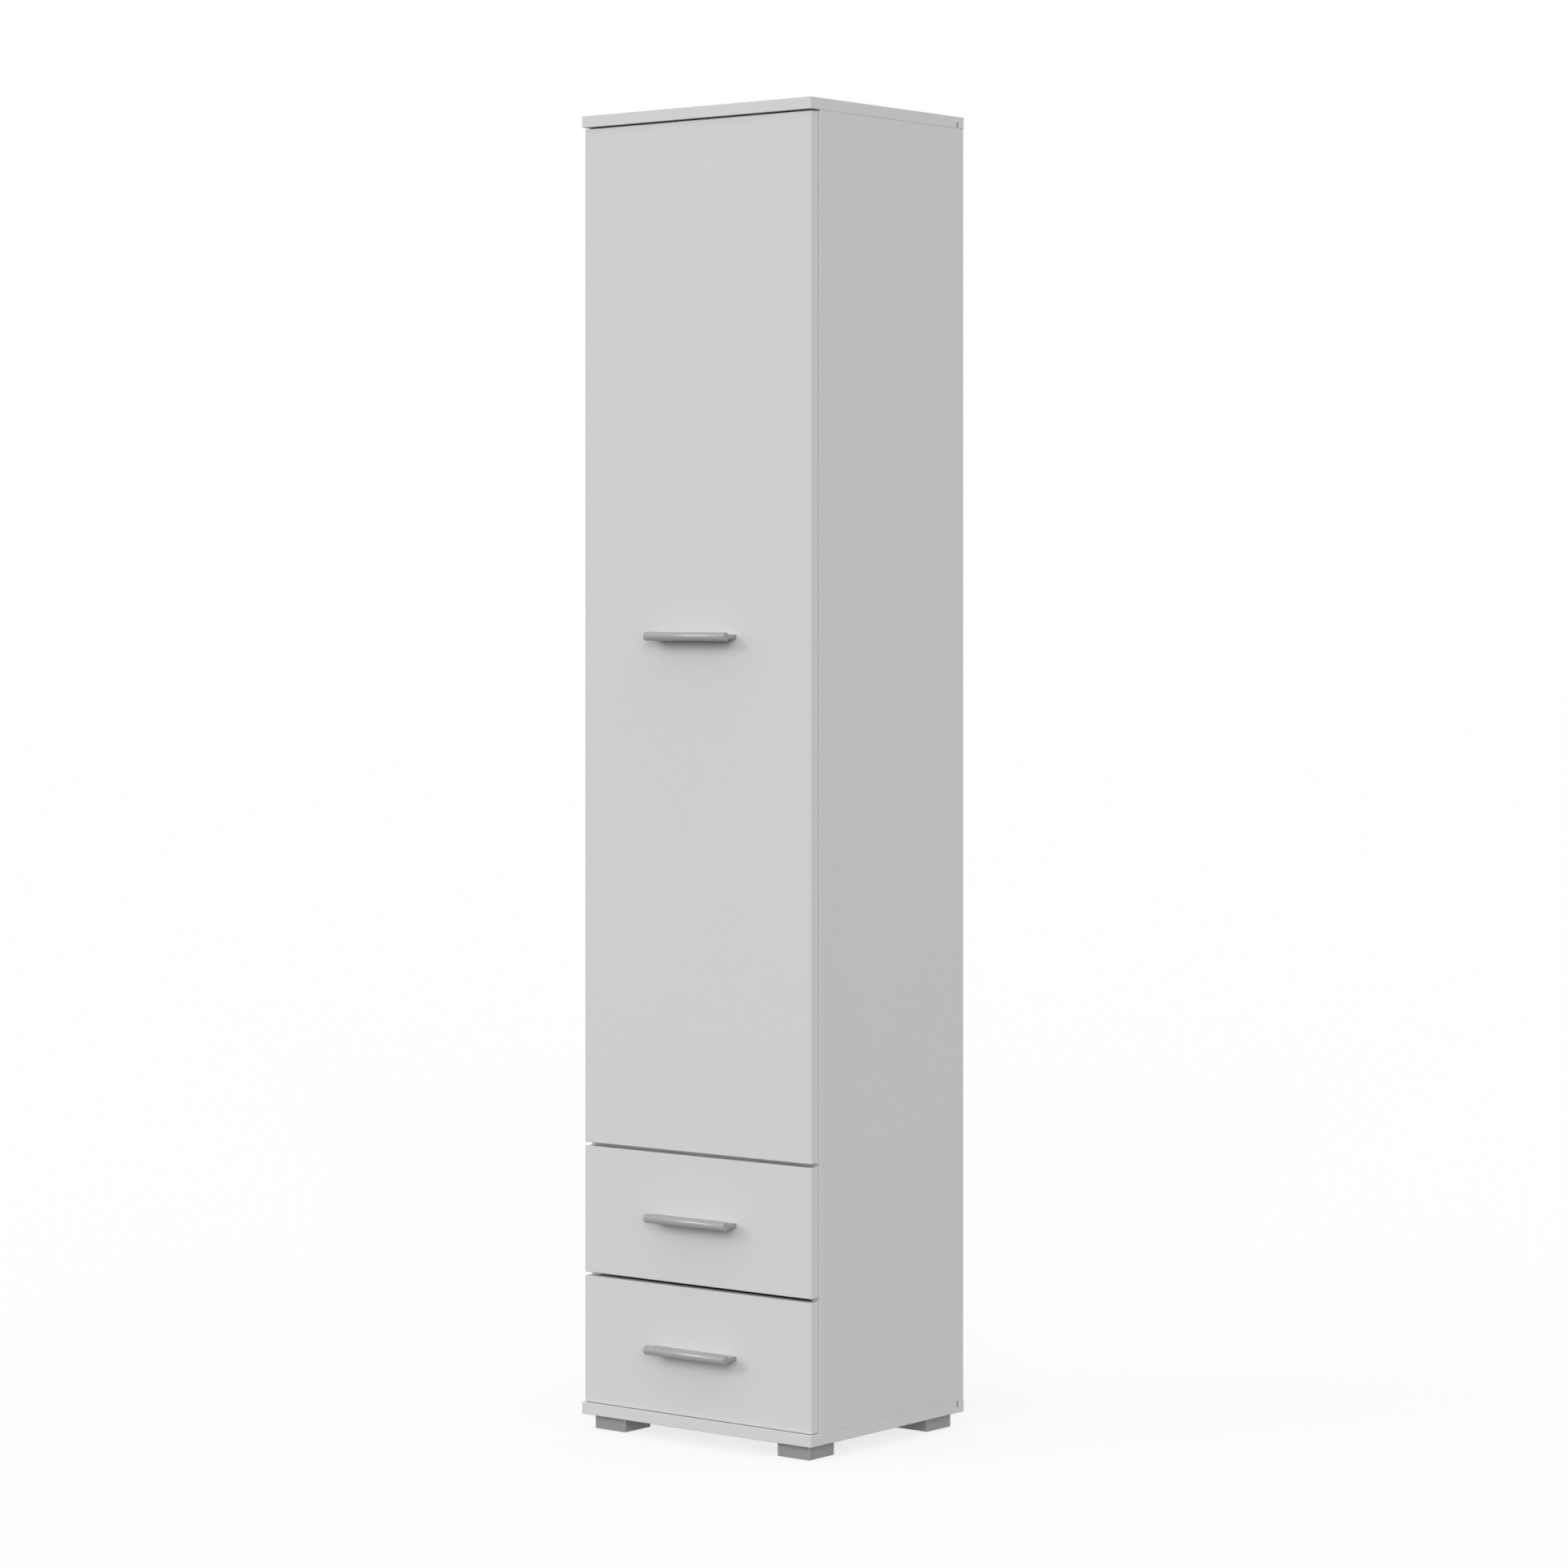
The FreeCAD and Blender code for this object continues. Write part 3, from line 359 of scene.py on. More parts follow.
def round_blank(tree, sides, radius, length):
    """Plain round bar with its lower end on the seat; returns the bar and its end faces."""
    sockets = {"Vertices": sides, "Radius": radius, "Depth": length}
    blank = add_node(tree, "GeometryNodeMeshCylinder", sockets).outputs
    bar = lifted(tree, blank["Mesh"], calc(tree, "MULTIPLY", length, 0.5))
    return bar, blank["Top"], blank["Bottom"]


def drawn(tree, shape, faces, length, scale=1.0):
    """Pull faces out by a length and scale their new end; returns the shape and those end faces."""
    sockets = {"Mesh": shape, "Selection": faces, "Offset Scale": length, "Individual": False}
    pulled = add_node(tree, "GeometryNodeExtrudeMesh", sockets)
    sockets = {"Geometry": pulled.outputs["Mesh"], "Selection": pulled.outputs["Top"], "Scale": scale}
    return add_node(tree, "GeometryNodeScaleElements", sockets).outputs[0], pulled.outputs["Top"]


def drawn_out(tree, shape, faces, length, steps):
    """Pull faces out in steps, each with its share of a length and the scale of its end."""
    for share, scale in steps:
        shape, faces = drawn(tree, shape, faces, calc(tree, "MULTIPLY", length, share), scale)
    return shape


def cross_cut(tree, shape, length, top, width_share, depth_share):
    """Cut a cross recess into the top of a shape."""
    thin = calc(tree, "MULTIPLY", length, width_share)
    deep = calc(tree, "MULTIPLY", length, depth_share * 2)
    cutters = []
    for sides in ((length, thin), (thin, length)):
        size = add_node(tree, "ShaderNodeCombineXYZ", {"X": sides[0], "Y": sides[1], "Z": deep}).outputs[0]
        arm = add_node(tree, "GeometryNodeMeshCube", {"Size": size}).outputs["Mesh"]
        cutters.append(lifted(tree, arm, top))
    cut = add_node(tree, "GeometryNodeMeshBoolean", {"Mesh 1": shape}, operation="DIFFERENCE", solver="EXACT")
    for cutter in cutters:
        tree.links.new(cutter, cut.inputs["Mesh 2"])
    return cut.outputs["Mesh"]


def cam_disc_shape():
    """Flat disc with a bevelled rim and a cross slot, its face at the seat."""
    tree, size = new_shape("cam_disc", "Radius", "Depth", "Rim", "Recess")
    body = calc(tree, "SUBTRACT", size["Depth"], size["Rim"])
    disc, top, bottom = round_blank(tree, CAM_SIDES, size["Radius"], body)
    disc = lifted(tree, disc, calc(tree, "MULTIPLY", size["Depth"], -1.0))
    disc = drawn_out(tree, disc, top, size["Rim"], [(1.0, CAM_FACE_SHARE)])
    disc = cross_cut(tree, disc, size["Recess"], 0.0, CAM_SLOT_WIDTH, CAM_SLOT_DEPTH)
    return end_shape(tree, size, disc)


def smooth(mesh):
    """Round shading, with the sharper edges kept."""
    mesh.polygons.foreach_set("use_smooth", [True] * len(mesh.polygons))
    mesh.set_sharp_from_angle(angle=math.radians(SMOOTH_BELOW))


def sow(name, tree, seats, aims, sizes, finish):
    """Set one shape on every seat, facing its aim, and bake the result to a plain mesh."""
    points = bpy.data.meshes.new(name + "_seats")
    points.from_pydata([tuple(s) for s in seats], [], [])
    facing = points.attributes.new("aim", "FLOAT_VECTOR", "POINT")
    facing.data.foreach_set("vector", [c for aim in aims for c in aim])
    piece = bpy.data.objects.new(name, points)
    bpy.context.scene.collection.objects.link(piece)
    modifier = piece.modifiers.new("shape", "NODES")
    modifier.node_group = tree
    values = dict(sizes, Finish=finish)
    for socket in tree.interface.items_tree:
        if socket.in_out == "INPUT" and socket.name in values:
            modifier[socket.identifier] = values[socket.name]
    evaluated = piece.evaluated_get(bpy.context.evaluated_depsgraph_get())
    piece.data = bpy.data.meshes.new_from_object(evaluated)
    piece.modifiers.clear()
    bpy.data.meshes.remove(points)
    smooth(piece.data)
    return piece


def settle(piece, body, slot, *nodes):
    """Let a finished piece ride on its body in place of CAD nodes."""
    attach(piece, body)
    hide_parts(*nodes)


def seat_of(box, aim):
    """Middle of the end face of a solid's box that looks along an aim."""
    low, high = box
    middle = (low + high) / 2
    reach = (high - low) / 2
    return middle + Vector(aim[k] * reach[k] for k in range(3))


def cam_aim(box):
    """A cam lies in the face of a side when it is thin across, otherwise in the underside of a shelf."""
    low, high = box
    spread = high - low
    if spread.x < spread.z:
        return (-math.copysign(1.0, low.x), 0.0, 0.0)
    return (0.0, 0.0, -1.0)


cam_disc = cam_disc_shape()
cams = solids("cam_discs")
cam_aims = [cam_aim(box) for box in cams]
cam_sizes = {"Radius": CAM_RADIUS, "Depth": CAM_DEPTH, "Rim": CAM_RIM, "Recess": CAM_RECESS}
cam_seats = [seat_of(box, aim) for box, aim in zip(cams, cam_aims)]
carcass_cams = sow("carcass_cams", cam_disc, cam_seats, cam_aims, cam_sizes, cast_zinc)
settle(carcass_cams, "carcass", "zinc_fitting", "cam_discs")
paint("cam_bolts", plated_steel)

# Feet: square blocks moulded in silver-grey plastic, hollow above, with a screw boss in the middle.
# Their upright corners are rounded, and the ground face has a small radius all round.
FEET = ("front_left_foot", "front_right_foot", "rear_left_foot", "rear_right_foot")
FOOT_EDGE = 0.0009
FOOT_EDGE_STEPS = 3
FLAT_BELOW = 1.0
SHARP_ABOVE = 30.0
SILVER = (0.26, 0.26, 0.26)
SILVER_ROUGHNESS = (0.32, 0.44)
SILVER_PEEL = 0.00002
LACQUER_GLOSS = 1.0
FLAKE_WAVES = 1600.0
FLAKE_TONES = (0.985, 1.015)
PEEL_WAVES = 700.0


def set_down(name, mesh, finish):
    """Object of its own for a finished mesh, with round shading and a finish."""
    smooth(mesh)
    mesh.materials.append(finish)
    piece = bpy.data.objects.new(name, mesh)
    bpy.context.scene.collection.objects.link(piece)
    return piece


def round_over(form, edges, radius, steps):
    """Round edges over with a small radius."""
    bmesh.ops.bevel(
        form, geom=edges, offset=radius, segments=steps, profile=0.5, affect="EDGES", clamp_overlap=True
    )


def made_mesh(name, form):
    """Plain mesh from a finished form, which is freed."""
    mesh = bpy.data.meshes.new(name)
    form.to_mesh(mesh)
    form.free()
    return mesh


def soften(node, finish, radius, steps=2):
    """Copy of a CAD node with its sharp edges rounded over, in its finish."""
    form = merged(node)
    flat = math.radians(FLAT_BELOW)
    bmesh.ops.dissolve_limit(form, angle_limit=flat, verts=form.verts, edges=form.edges)
    sharp = [e for e in form.edges if e.is_manifold and e.calc_face_angle() > math.radians(SHARP_ABOVE)]
    round_over(form, sharp, radius, steps)
    name = node + "_rounded"
    return set_down(name, made_mesh(name, form), finish)


def silver_lacquer(name, colour, roughness, peel):
    """Silver-grey coat with a fine metallic flake, glossy between two roughnesses, and uneven to a depth."""
    finish, tree, shader, place = new_finish(name)
    flake = grain(tree, place, FLAKE_WAVES, detail=1.0)
    tint(tree, shader, colour, ranged(tree, flake, *FLAKE_TONES))
    shader.inputs["Specular IOR Level"].default_value = LACQUER_GLOSS
    skin = grain(tree, place, PEEL_WAVES, detail=3.0)
    vary_gloss(tree, shader, skin, roughness)
    roughen(tree, shader, skin, peel)
    return finish


silver_plastic = silver_lacquer("silver_plastic", SILVER, SILVER_ROUGHNESS, SILVER_PEEL)
for foot in FEET:
    block = soften(foot, silver_plastic, FOOT_EDGE, FOOT_EDGE_STEPS)
    settle(block, "carcass", "silver_plastic", foot)

# Screws of the feet: zinc-plated pan heads with a cross recess, driven up through each boss into the bottom.
# The same kind of screw holds hinges, runners, handles and the wall angle.
SCREW_SIDES = 24
HEAD_RADIUS = 0.0038
HEAD_RISE = 0.0016
HEAD_WALL = 0.45
CROWN_STEPS = ((0.6, 0.9), (0.4, 0.78))
SHANK_RADIUS = 0.0017
SHANK_STEPS = ((0.8, 1.0), (0.2, 0.2))
SCREW_RECESS = 0.0040
SCREW_SLOT_WIDTH = 0.26
SCREW_SLOT_DEPTH = 0.2


def screw_shape():
    """Pan-head screw standing on its seat, with a tapered point and a cross recess."""
    names = ("Head Radius", "Head Rise", "Shank Radius", "Shank Length", "Recess")
    tree, size = new_shape("pan_head_screw", *names)
    wall = calc(tree, "MULTIPLY", size["Head Rise"], HEAD_WALL)
    crown = calc(tree, "SUBTRACT", size["Head Rise"], wall)
    screw, top, bottom = round_blank(tree, SCREW_SIDES, size["Head Radius"], wall)
    screw = drawn_out(tree, screw, top, crown, CROWN_STEPS)
    narrow = calc(tree, "DIVIDE", size["Shank Radius"], size["Head Radius"])
    screw, neck = drawn(tree, screw, bottom, 0.0, narrow)
    screw = drawn_out(tree, screw, neck, size["Shank Length"], SHANK_STEPS)
    screw = cross_cut(tree, screw, size["Recess"], size["Head Rise"], SCREW_SLOT_WIDTH, SCREW_SLOT_DEPTH)
    return end_shape(tree, size, screw)


pan_head_screw = screw_shape()


def drive(name, boxes, aim_of, body, node):
    """Screws in place of CAD ones: aim_of says which way each head looks."""
    aims = [aim_of(box) for box in boxes]
    heads = [seat_of(box, aim) for box, aim in zip(boxes, aims)]
    seats = [head - Vector(aim) * HEAD_RISE for head, aim in zip(heads, aims)]
    low, high = boxes[0]
    length = sum(abs(aims[0][k]) * (high - low)[k] for k in range(3)) - HEAD_RISE
    sizes = {
        "Head Radius": HEAD_RADIUS,
        "Head Rise": HEAD_RISE,
        "Shank Radius": SHANK_RADIUS,
        "Shank Length": length,
        "Recess": SCREW_RECESS,
    }
    screws = sow(name, pan_head_screw, seats, aims, sizes, plated_steel)
    settle(screws, body, "nickel_steel", node)


def facing(*aim):
    """The same aim for every screw of a group."""
    return lambda box: aim


def inward(box):
    """Towards the middle of the cabinet, from either side."""
    return (-math.copysign(1.0, box[0].x), 0.0, 0.0)


def outward(box):
    """Away from the middle of the cabinet, to either side."""
    return (math.copysign(1.0, box[0].x), 0.0, 0.0)


drive("foot_fixings", solids("foot_screws"), facing(0.0, 0.0, -1.0), "carcass", "foot_screws")

# Shelf pins: turned steel pegs, nickel plated, pushed into 5 mm holes in the sides.
# The shelf lies on the thick end, which has a rounded rim.
PIN_SIDES = 24
PIN_STEM = 0.0025
PIN_HEAD = 0.0040
PIN_STEM_LENGTH = 0.0090
PIN_HEAD_LENGTH = 0.0090
PIN_ROUND = 0.0008
PIN_ROUND_STEPS = ((0.65, 0.92), (0.35, 0.84))
PIN_STEM_STEPS = ((0.93, 1.0), (0.07, 0.8))
NICKEL = (0.60, 0.585, 0.56)
NICKEL_ROUGHNESS = (0.16, 0.3)
NICKEL_WAVES = 600.0


def pin_shape():
    """Peg with its stem below the seat and a thicker, rounded head above it."""
    names = ("Stem Radius", "Stem Length", "Head Radius", "Head Length", "Round")
    tree, size = new_shape("stepped_pin", *names)
    straight = calc(tree, "SUBTRACT", size["Head Length"], size["Round"])
    pin, top, bottom = round_blank(tree, PIN_SIDES, size["Head Radius"], straight)
    pin = drawn_out(tree, pin, top, size["Round"], PIN_ROUND_STEPS)
    narrow = calc(tree, "DIVIDE", size["Stem Radius"], size["Head Radius"])
    pin, neck = drawn(tree, pin, bottom, 0.0, narrow)
    pin = drawn_out(tree, pin, neck, size["Stem Length"], PIN_STEM_STEPS)
    # A stem as thick as its head leaves a ring of no width, which is closed here
    sockets = {"Geometry": pin, "Distance": MERGE}
    return end_shape(tree, size, add_node(tree, "GeometryNodeMergeByDistance", sockets).outputs[0])


stepped_pin = pin_shape()
nickel = metal("nickel_plate", NICKEL, NICKEL_ROUGHNESS, NICKEL_WAVES)
pins = solids("shelf_pins")
pin_aims = [inward(box) for box in pins]
pin_tips = [seat_of(box, aim) for box, aim in zip(pins, pin_aims)]
pin_seats = [tip - Vector(aim) * PIN_HEAD_LENGTH for tip, aim in zip(pin_tips, pin_aims)]
pin_sizes = {
    "Stem Radius": PIN_STEM,
    "Stem Length": PIN_STEM_LENGTH,
    "Head Radius": PIN_HEAD,
    "Head Length": PIN_HEAD_LENGTH,
    "Round": PIN_ROUND,
}
shelf_pegs = sow("shelf_pegs", stepped_pin, pin_seats, pin_aims, pin_sizes, nickel)
settle(shelf_pegs, "carcass", "nickel_steel", "shelf_pins")

# Hinge plates and arms: pressed steel, nickel plated, with the edges rounded by the tool.
# The plate is screwed to the left side; the cranked arm straddles it and reaches into the cup.
PRESSED_EDGE = 0.0003
for pressed in ("hinge_plates", "hinge_arms"):
    settle(soften(pressed, nickel, PRESSED_EDGE), "carcass", "nickel_steel", pressed)
for pressed in ("hinge_plate", "hinge_arm"):
    screws = pressed + "_screws"
    drive(pressed + "_fixings", solids(screws), facing(1.0, 0.0, 0.0), "carcass", screws)

# Cabinet rails: folded steel with a pale baked coat, screwed to the sides.
# Each carries a fixed axle at its front and a pressed stop.
RAIL_EDGE = 0.0003
RAIL_COAT = (0.62, 0.615, 0.60)
COAT_WAVES = 25.0
COAT_TONES = (0.97, 1.03)
COAT_PEEL_WAVES = 500.0
COAT_ROUGHNESS = (0.3, 0.42)
COAT_PEEL = 0.00006


def baked_coat(name, colour):
    """Powder coat: an even satin skin with a faint orange peel."""
    finish, tree, shader, place = new_finish(name)
    peel = grain(tree, place, COAT_PEEL_WAVES)
    tint(tree, shader, colour, ranged(tree, grain(tree, place, COAT_WAVES), *COAT_TONES))
    vary_gloss(tree, shader, peel, COAT_ROUGHNESS)
    roughen(tree, shader, peel, COAT_PEEL)
    return finish


rail_coat = baked_coat("rail_coat", RAIL_COAT)
for height in ("upper", "lower"):
    for hand in ("left", "right"):
        node = height + "_" + hand + "_cabinet_rail"
        settle(soften(node, rail_coat, RAIL_EDGE), "carcass", "coated_steel", node)
drive("rail_fixings", solids("rail_screws"), inward, "carcass", "rail_screws")

# Rollers: nylon wheels that run on the axles of the rails, two on the cabinet and two on each drawer.
# They are moulded with a rounded tread, a raised hub and a thin web between.
ROLLER_RADIUS = 0.008
ROLLER_BORE = 0.00265
ROLLER_HUB = 0.0043
ROLLER_RIM = 0.0066
ROLLER_DISH = 0.0008
ROLLER_ROUND = 0.0007
ROLLER_STEPS = 64
ROLLER_AXLE = Vector((1.0, 0.0, 0.0))
NYLON = (0.60, 0.595, 0.57)
NYLON_WAVES = 150.0
NYLON_TONES = (0.97, 1.03)
NYLON_SKIN_WAVES = 900.0
NYLON_ROUGHNESS = (0.32, 0.44)
NYLON_SKIN = 0.00003
NYLON_GLOW = 0.15
NYLON_GLOW_DEPTH = 0.001


def moulded_nylon(name):
    """Waxy pale plastic that lets a little light in."""
    finish, tree, shader, place = new_finish(name)
    skin = grain(tree, place, NYLON_SKIN_WAVES)
    tint(tree, shader, NYLON, ranged(tree, grain(tree, place, NYLON_WAVES), *NYLON_TONES))
    vary_gloss(tree, shader, skin, NYLON_ROUGHNESS)
    shader.inputs["Subsurface Weight"].default_value = NYLON_GLOW
    shader.inputs["Subsurface Scale"].default_value = NYLON_GLOW_DEPTH
    roughen(tree, shader, skin, NYLON_SKIN)
    return finish


def turned(form, profile, centre):
    """Spin a closed outline of (along, radius) points about an axle through a centre."""
    up = Vector((0.0, 0.0, 1.0))
    ring = [form.verts.new(centre + ROLLER_AXLE * along + up * radius) for along, radius in profile]
    edges = [form.edges.new((ring[k], ring[(k + 1) % len(ring)])) for k in range(len(ring))]
    bmesh.ops.spin(
        form,
        geom=ring + edges,
        cent=centre,
        axis=ROLLER_AXLE,
        angle=2 * math.pi,
        steps=ROLLER_STEPS,
        use_merge=True,
    )


nylon = moulded_nylon("moulded_nylon")
for height in ("upper", "lower"):
    for end in ("front", "rear"):
        node = height + "_" + end + "_rollers"
        form = bmesh.new()
        for low, high in solids(node):
            half = (high.x - low.x) / 2
            dish = half - ROLLER_DISH
            shoulder = half - ROLLER_ROUND
            near_half = [
                (-half, ROLLER_BORE),
                (-half, ROLLER_HUB),
                (-dish, ROLLER_HUB),
                (-dish, ROLLER_RIM),
                (-half, ROLLER_RIM),
                (-half, ROLLER_RADIUS - ROLLER_ROUND),
                (-shoulder, ROLLER_RADIUS),
            ]
            far_half = [(-along, radius) for along, radius in reversed(near_half)]
            turned(form, near_half + far_half, (low + high) / 2)
        bmesh.ops.remove_doubles(form, verts=form.verts, dist=MERGE)
        bmesh.ops.recalc_face_normals(form, faces=form.faces)
        wheels = set_down(node + "_turned", made_mesh(node + "_turned", form), nylon)
        settle(wheels, node, "nylon", node)

# Wall angle: a bent steel strip under the top with the same baked coat, for the screw that stops tipping.
# Two short screws hold it to the top, and its round hole goes on through the back.
settle(soften("wall_bracket", rail_coat, RAIL_EDGE), "carcass", "coated_steel", "wall_bracket")
bracket_screws = solids("wall_bracket_screws")
drive("wall_bracket_fixings", bracket_screws, facing(0.0, 0.0, -1.0), "carcass", "wall_bracket_screws")

# Fronts: one tall door and two drawer fronts of the same faced board, with a fine edge all round.
# They lie between top and bottom with narrow even gaps, 4 mm behind the front edges of both.
# The facing goes on round the slant of the door's hinge edge, which lets its corner swing past the side.
FRONT_MELAMINE = (0.600, 0.600, 0.600)
FRONT_FACING = 0.0016
for front in ("door_panel", "upper_drawer_front", "lower_drawer_front"):
    paint(front, melamine(front, FRONT_MELAMINE, FRONT_FACING))

# Hinge cups and pins: pressed cups sunk in the back of the door, each with a flange under two screws.
# A steel pin across the cup carries the eye of the arm.
settle(soften("hinge_cups", nickel, PRESSED_EDGE), "door", "nickel_steel", "hinge_cups")
paint("hinge_pins", plated_steel)
drive("hinge_cup_fixings", solids("hinge_cup_screws"), facing(0.0, 1.0, 0.0), "door", "hinge_cup_screws")

# Door bumpers: small clear buttons of soft plastic, pressed into shallow holes in the back of the door.
# Their low domes meet the edge of the right side and keep the door from knocking.
BUMPER_RADIUS = 0.0040
BUMPER_DOME = 0.7
BUMPER_CLEAR = (0.58, 0.59, 0.58)
BUMPER_WAVES = 300.0
BUMPER_TONES = (0.96, 1.04)
BUMPER_SKIN_WAVES = 900.0
BUMPER_ROUGHNESS = (0.3, 0.45)
BUMPER_SEE_THROUGH = 0.35


def soft_clear(name):
    """Milky soft plastic."""
    finish, tree, shader, place = new_finish(name)
    tint(tree, shader, BUMPER_CLEAR, ranged(tree, grain(tree, place, BUMPER_WAVES), *BUMPER_TONES))
    vary_gloss(tree, shader, grain(tree, place, BUMPER_SKIN_WAVES), BUMPER_ROUGHNESS)
    shader.inputs["Transmission Weight"].default_value = BUMPER_SEE_THROUGH
    return finish


bumper_boxes = solids("door_bumpers")
door_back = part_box("door_panel")[1].y
bumper_proud = bumper_boxes[0][1].y - door_back
bumper_aims = [(0.0, 1.0, 0.0) for box in bumper_boxes]
bumper_tops = [seat_of(box, aim) for box, aim in zip(bumper_boxes, bumper_aims)]
bumper_seats = [top - Vector((0.0, bumper_proud, 0.0)) for top in bumper_tops]
bumper_sizes = {
    "Stem Radius": BUMPER_RADIUS,
    "Stem Length": door_back - bumper_boxes[0][0].y,
    "Head Radius": BUMPER_RADIUS,
    "Head Length": bumper_proud,
    "Round": bumper_proud * BUMPER_DOME,
}
domes = sow("bumper_domes", stepped_pin, bumper_seats, bumper_aims, bumper_sizes, soft_clear("soft_clear"))
settle(domes, "door", "soft_bumper", "door_bumpers")

# Handles: an extruded bar with a round nose on a flat web, sawn square and lacquered silver grey.
# Two screws from behind hold each one to its front.
HANDLES = {
    "door_handle": "door",
    "upper_drawer_handle": "upper_drawer",
    "lower_drawer_handle": "lower_drawer",
}
NOSE_RADIUS = 0.006
NOSE_STEPS = 40
WEB_HALF = 0.003
WEB_BLEND = 0.0015
BLEND_STEPS = 8
HANDLE_BURR = 0.00025
HANDLE_BURR_STEPS = 2
HANDLE_SILVER = (0.29, 0.29, 0.29)
HANDLE_ROUGHNESS = (0.19, 0.25)
HANDLE_PEEL = 0.000003


def handle_outline(root, nose):
    """Section of the bar as (y, z) points about its own middle height."""
    rise = WEB_HALF + WEB_BLEND
    gap = NOSE_RADIUS + WEB_BLEND
    run = math.sqrt(gap ** 2 - rise ** 2)
    start = math.asin(rise / gap)
    outline = [(root, WEB_HALF)]
    for k in range(BLEND_STEPS + 1):
        turn = -math.pi / 2 - (math.pi / 2 - start) * k / BLEND_STEPS
        outline.append((nose + run + WEB_BLEND * math.cos(turn), rise + WEB_BLEND * math.sin(turn)))
    upper = list(outline)
    for k in range(1, NOSE_STEPS):
        turn = start + (2 * math.pi - 2 * start) * k / NOSE_STEPS
        outline.append((nose + NOSE_RADIUS * math.cos(turn), NOSE_RADIUS * math.sin(turn)))
    return outline + [(y, -z) for y, z in reversed(upper)]


handle_lacquer = silver_lacquer("handle_lacquer", HANDLE_SILVER, HANDLE_ROUGHNESS, HANDLE_PEEL)
for node, body in HANDLES.items():
    low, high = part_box(node)
    middle = (low.z + high.z) / 2
    form = bmesh.new()
    section = handle_outline(high.y, low.y + NOSE_RADIUS)
    ring = [form.verts.new((low.x, y, middle + z)) for y, z in section]
    end = form.faces.new(ring)
    grown = bmesh.ops.extrude_face_region(form, geom=[end])
    far = [v for v in grown["geom"] if isinstance(v, bmesh.types.BMVert)]
    bmesh.ops.translate(form, verts=far, vec=(high.x - low.x, 0.0, 0.0))
    bmesh.ops.recalc_face_normals(form, faces=form.faces)
    rims = [e for e in form.edges if abs(e.verts[0].co.x - e.verts[1].co.x) < MERGE]
    round_over(form, rims, HANDLE_BURR, HANDLE_BURR_STEPS)
    bar = set_down(node + "_bar", made_mesh(node + "_bar", form), handle_lacquer)
    settle(bar, body, "aluminium_bar", node)
    drive(node + "_fixings", solids(node + "_screws"), facing(0.0, 1.0, 0.0), body, node + "_screws")

# Drawer boxes: two sides and a back of 12 mm faced board, with a hardboard bottom in grooves.
# Cams and dowels hold the sides to the front, screws hold them to the back.
# The fittings of a drawer share one CAD node, and are told apart by their lengths and widths.
DRAWER_MELAMINE = (0.600, 0.600, 0.595)
SCREW_LENGTH = 0.037
BOLT_LENGTH = 0.033
DOWEL_LENGTH = 0.025
CAM_WIDTH = 0.0115
DRAWER_CAM_RADIUS = 0.006
DRAWER_CAM_DEPTH = 0.0095
DRAWER_PEG_RADIUS = 0.003


def fitting_kind(low, high):
    """What a drawer's fitting is, by the size of its box."""
    spread = sorted(high - low)
    if spread[2] > SCREW_LENGTH:
        return "screw"
    if spread[2] > BOLT_LENGTH:
        return "bolt"
    if spread[2] > DOWEL_LENGTH:
        return "dowel"
    return "cam" if spread[1] > CAM_WIDTH else "rail"


for height in ("upper", "lower"):
    drawer = height + "_drawer"
    for board in ("left_side", "right_side", "back"):
        paint(drawer + "_" + board, melamine(drawer + "_" + board, DRAWER_MELAMINE))
    paint(drawer + "_bottom", hardboard(drawer + "_bottom", 2, False))
    fittings = drawer + "_fasteners"
    kinds = {"screw": [], "bolt": [], "dowel": [], "cam": [], "rail": []}
    for low, high in solids(fittings):
        kinds[fitting_kind(low, high)].append((low, high))
    drive(drawer + "_back_fixings", kinds["screw"], outward, drawer, fittings)
    drive(drawer + "_rail_fixings", kinds["rail"], facing(0.0, 0.0, -1.0), drawer, fittings)
    aims = [inward(box) for box in kinds["cam"]]
    seats = [seat_of(box, aim) for box, aim in zip(kinds["cam"], aims)]
    sizes = {"Radius": DRAWER_CAM_RADIUS, "Depth": DRAWER_CAM_DEPTH, "Rim": CAM_RIM, "Recess": CAM_RECESS}
    drawer_cams = sow(drawer + "_cams", cam_disc, seats, aims, sizes, cast_zinc)
    settle(drawer_cams, drawer, "zinc_fitting", fittings)
    for kind, finish, slot in (("bolt", plated_steel, "zinc_fitting"), ("dowel", dowel_wood, "beech")):
        boxes = kinds[kind]
        length = boxes[0][1].y - boxes[0][0].y
        sizes = {
            "Stem Radius": DRAWER_PEG_RADIUS,
            "Stem Length": length / 2,
            "Head Radius": DRAWER_PEG_RADIUS,
            "Head Length": length / 2,
            "Round": PIN_ROUND,
        }
        middles = [(low + high) / 2 for low, high in boxes]
        aims = [(0.0, 1.0, 0.0)] * len(boxes)
        pegs = sow(drawer + "_" + kind + "s", stepped_pin, middles, aims, sizes, finish)
        settle(pegs, drawer, slot, fittings)
    rails = drawer + "_rails"
    settle(soften(rails, rail_coat, RAIL_EDGE), drawer, "coated_steel", rails)

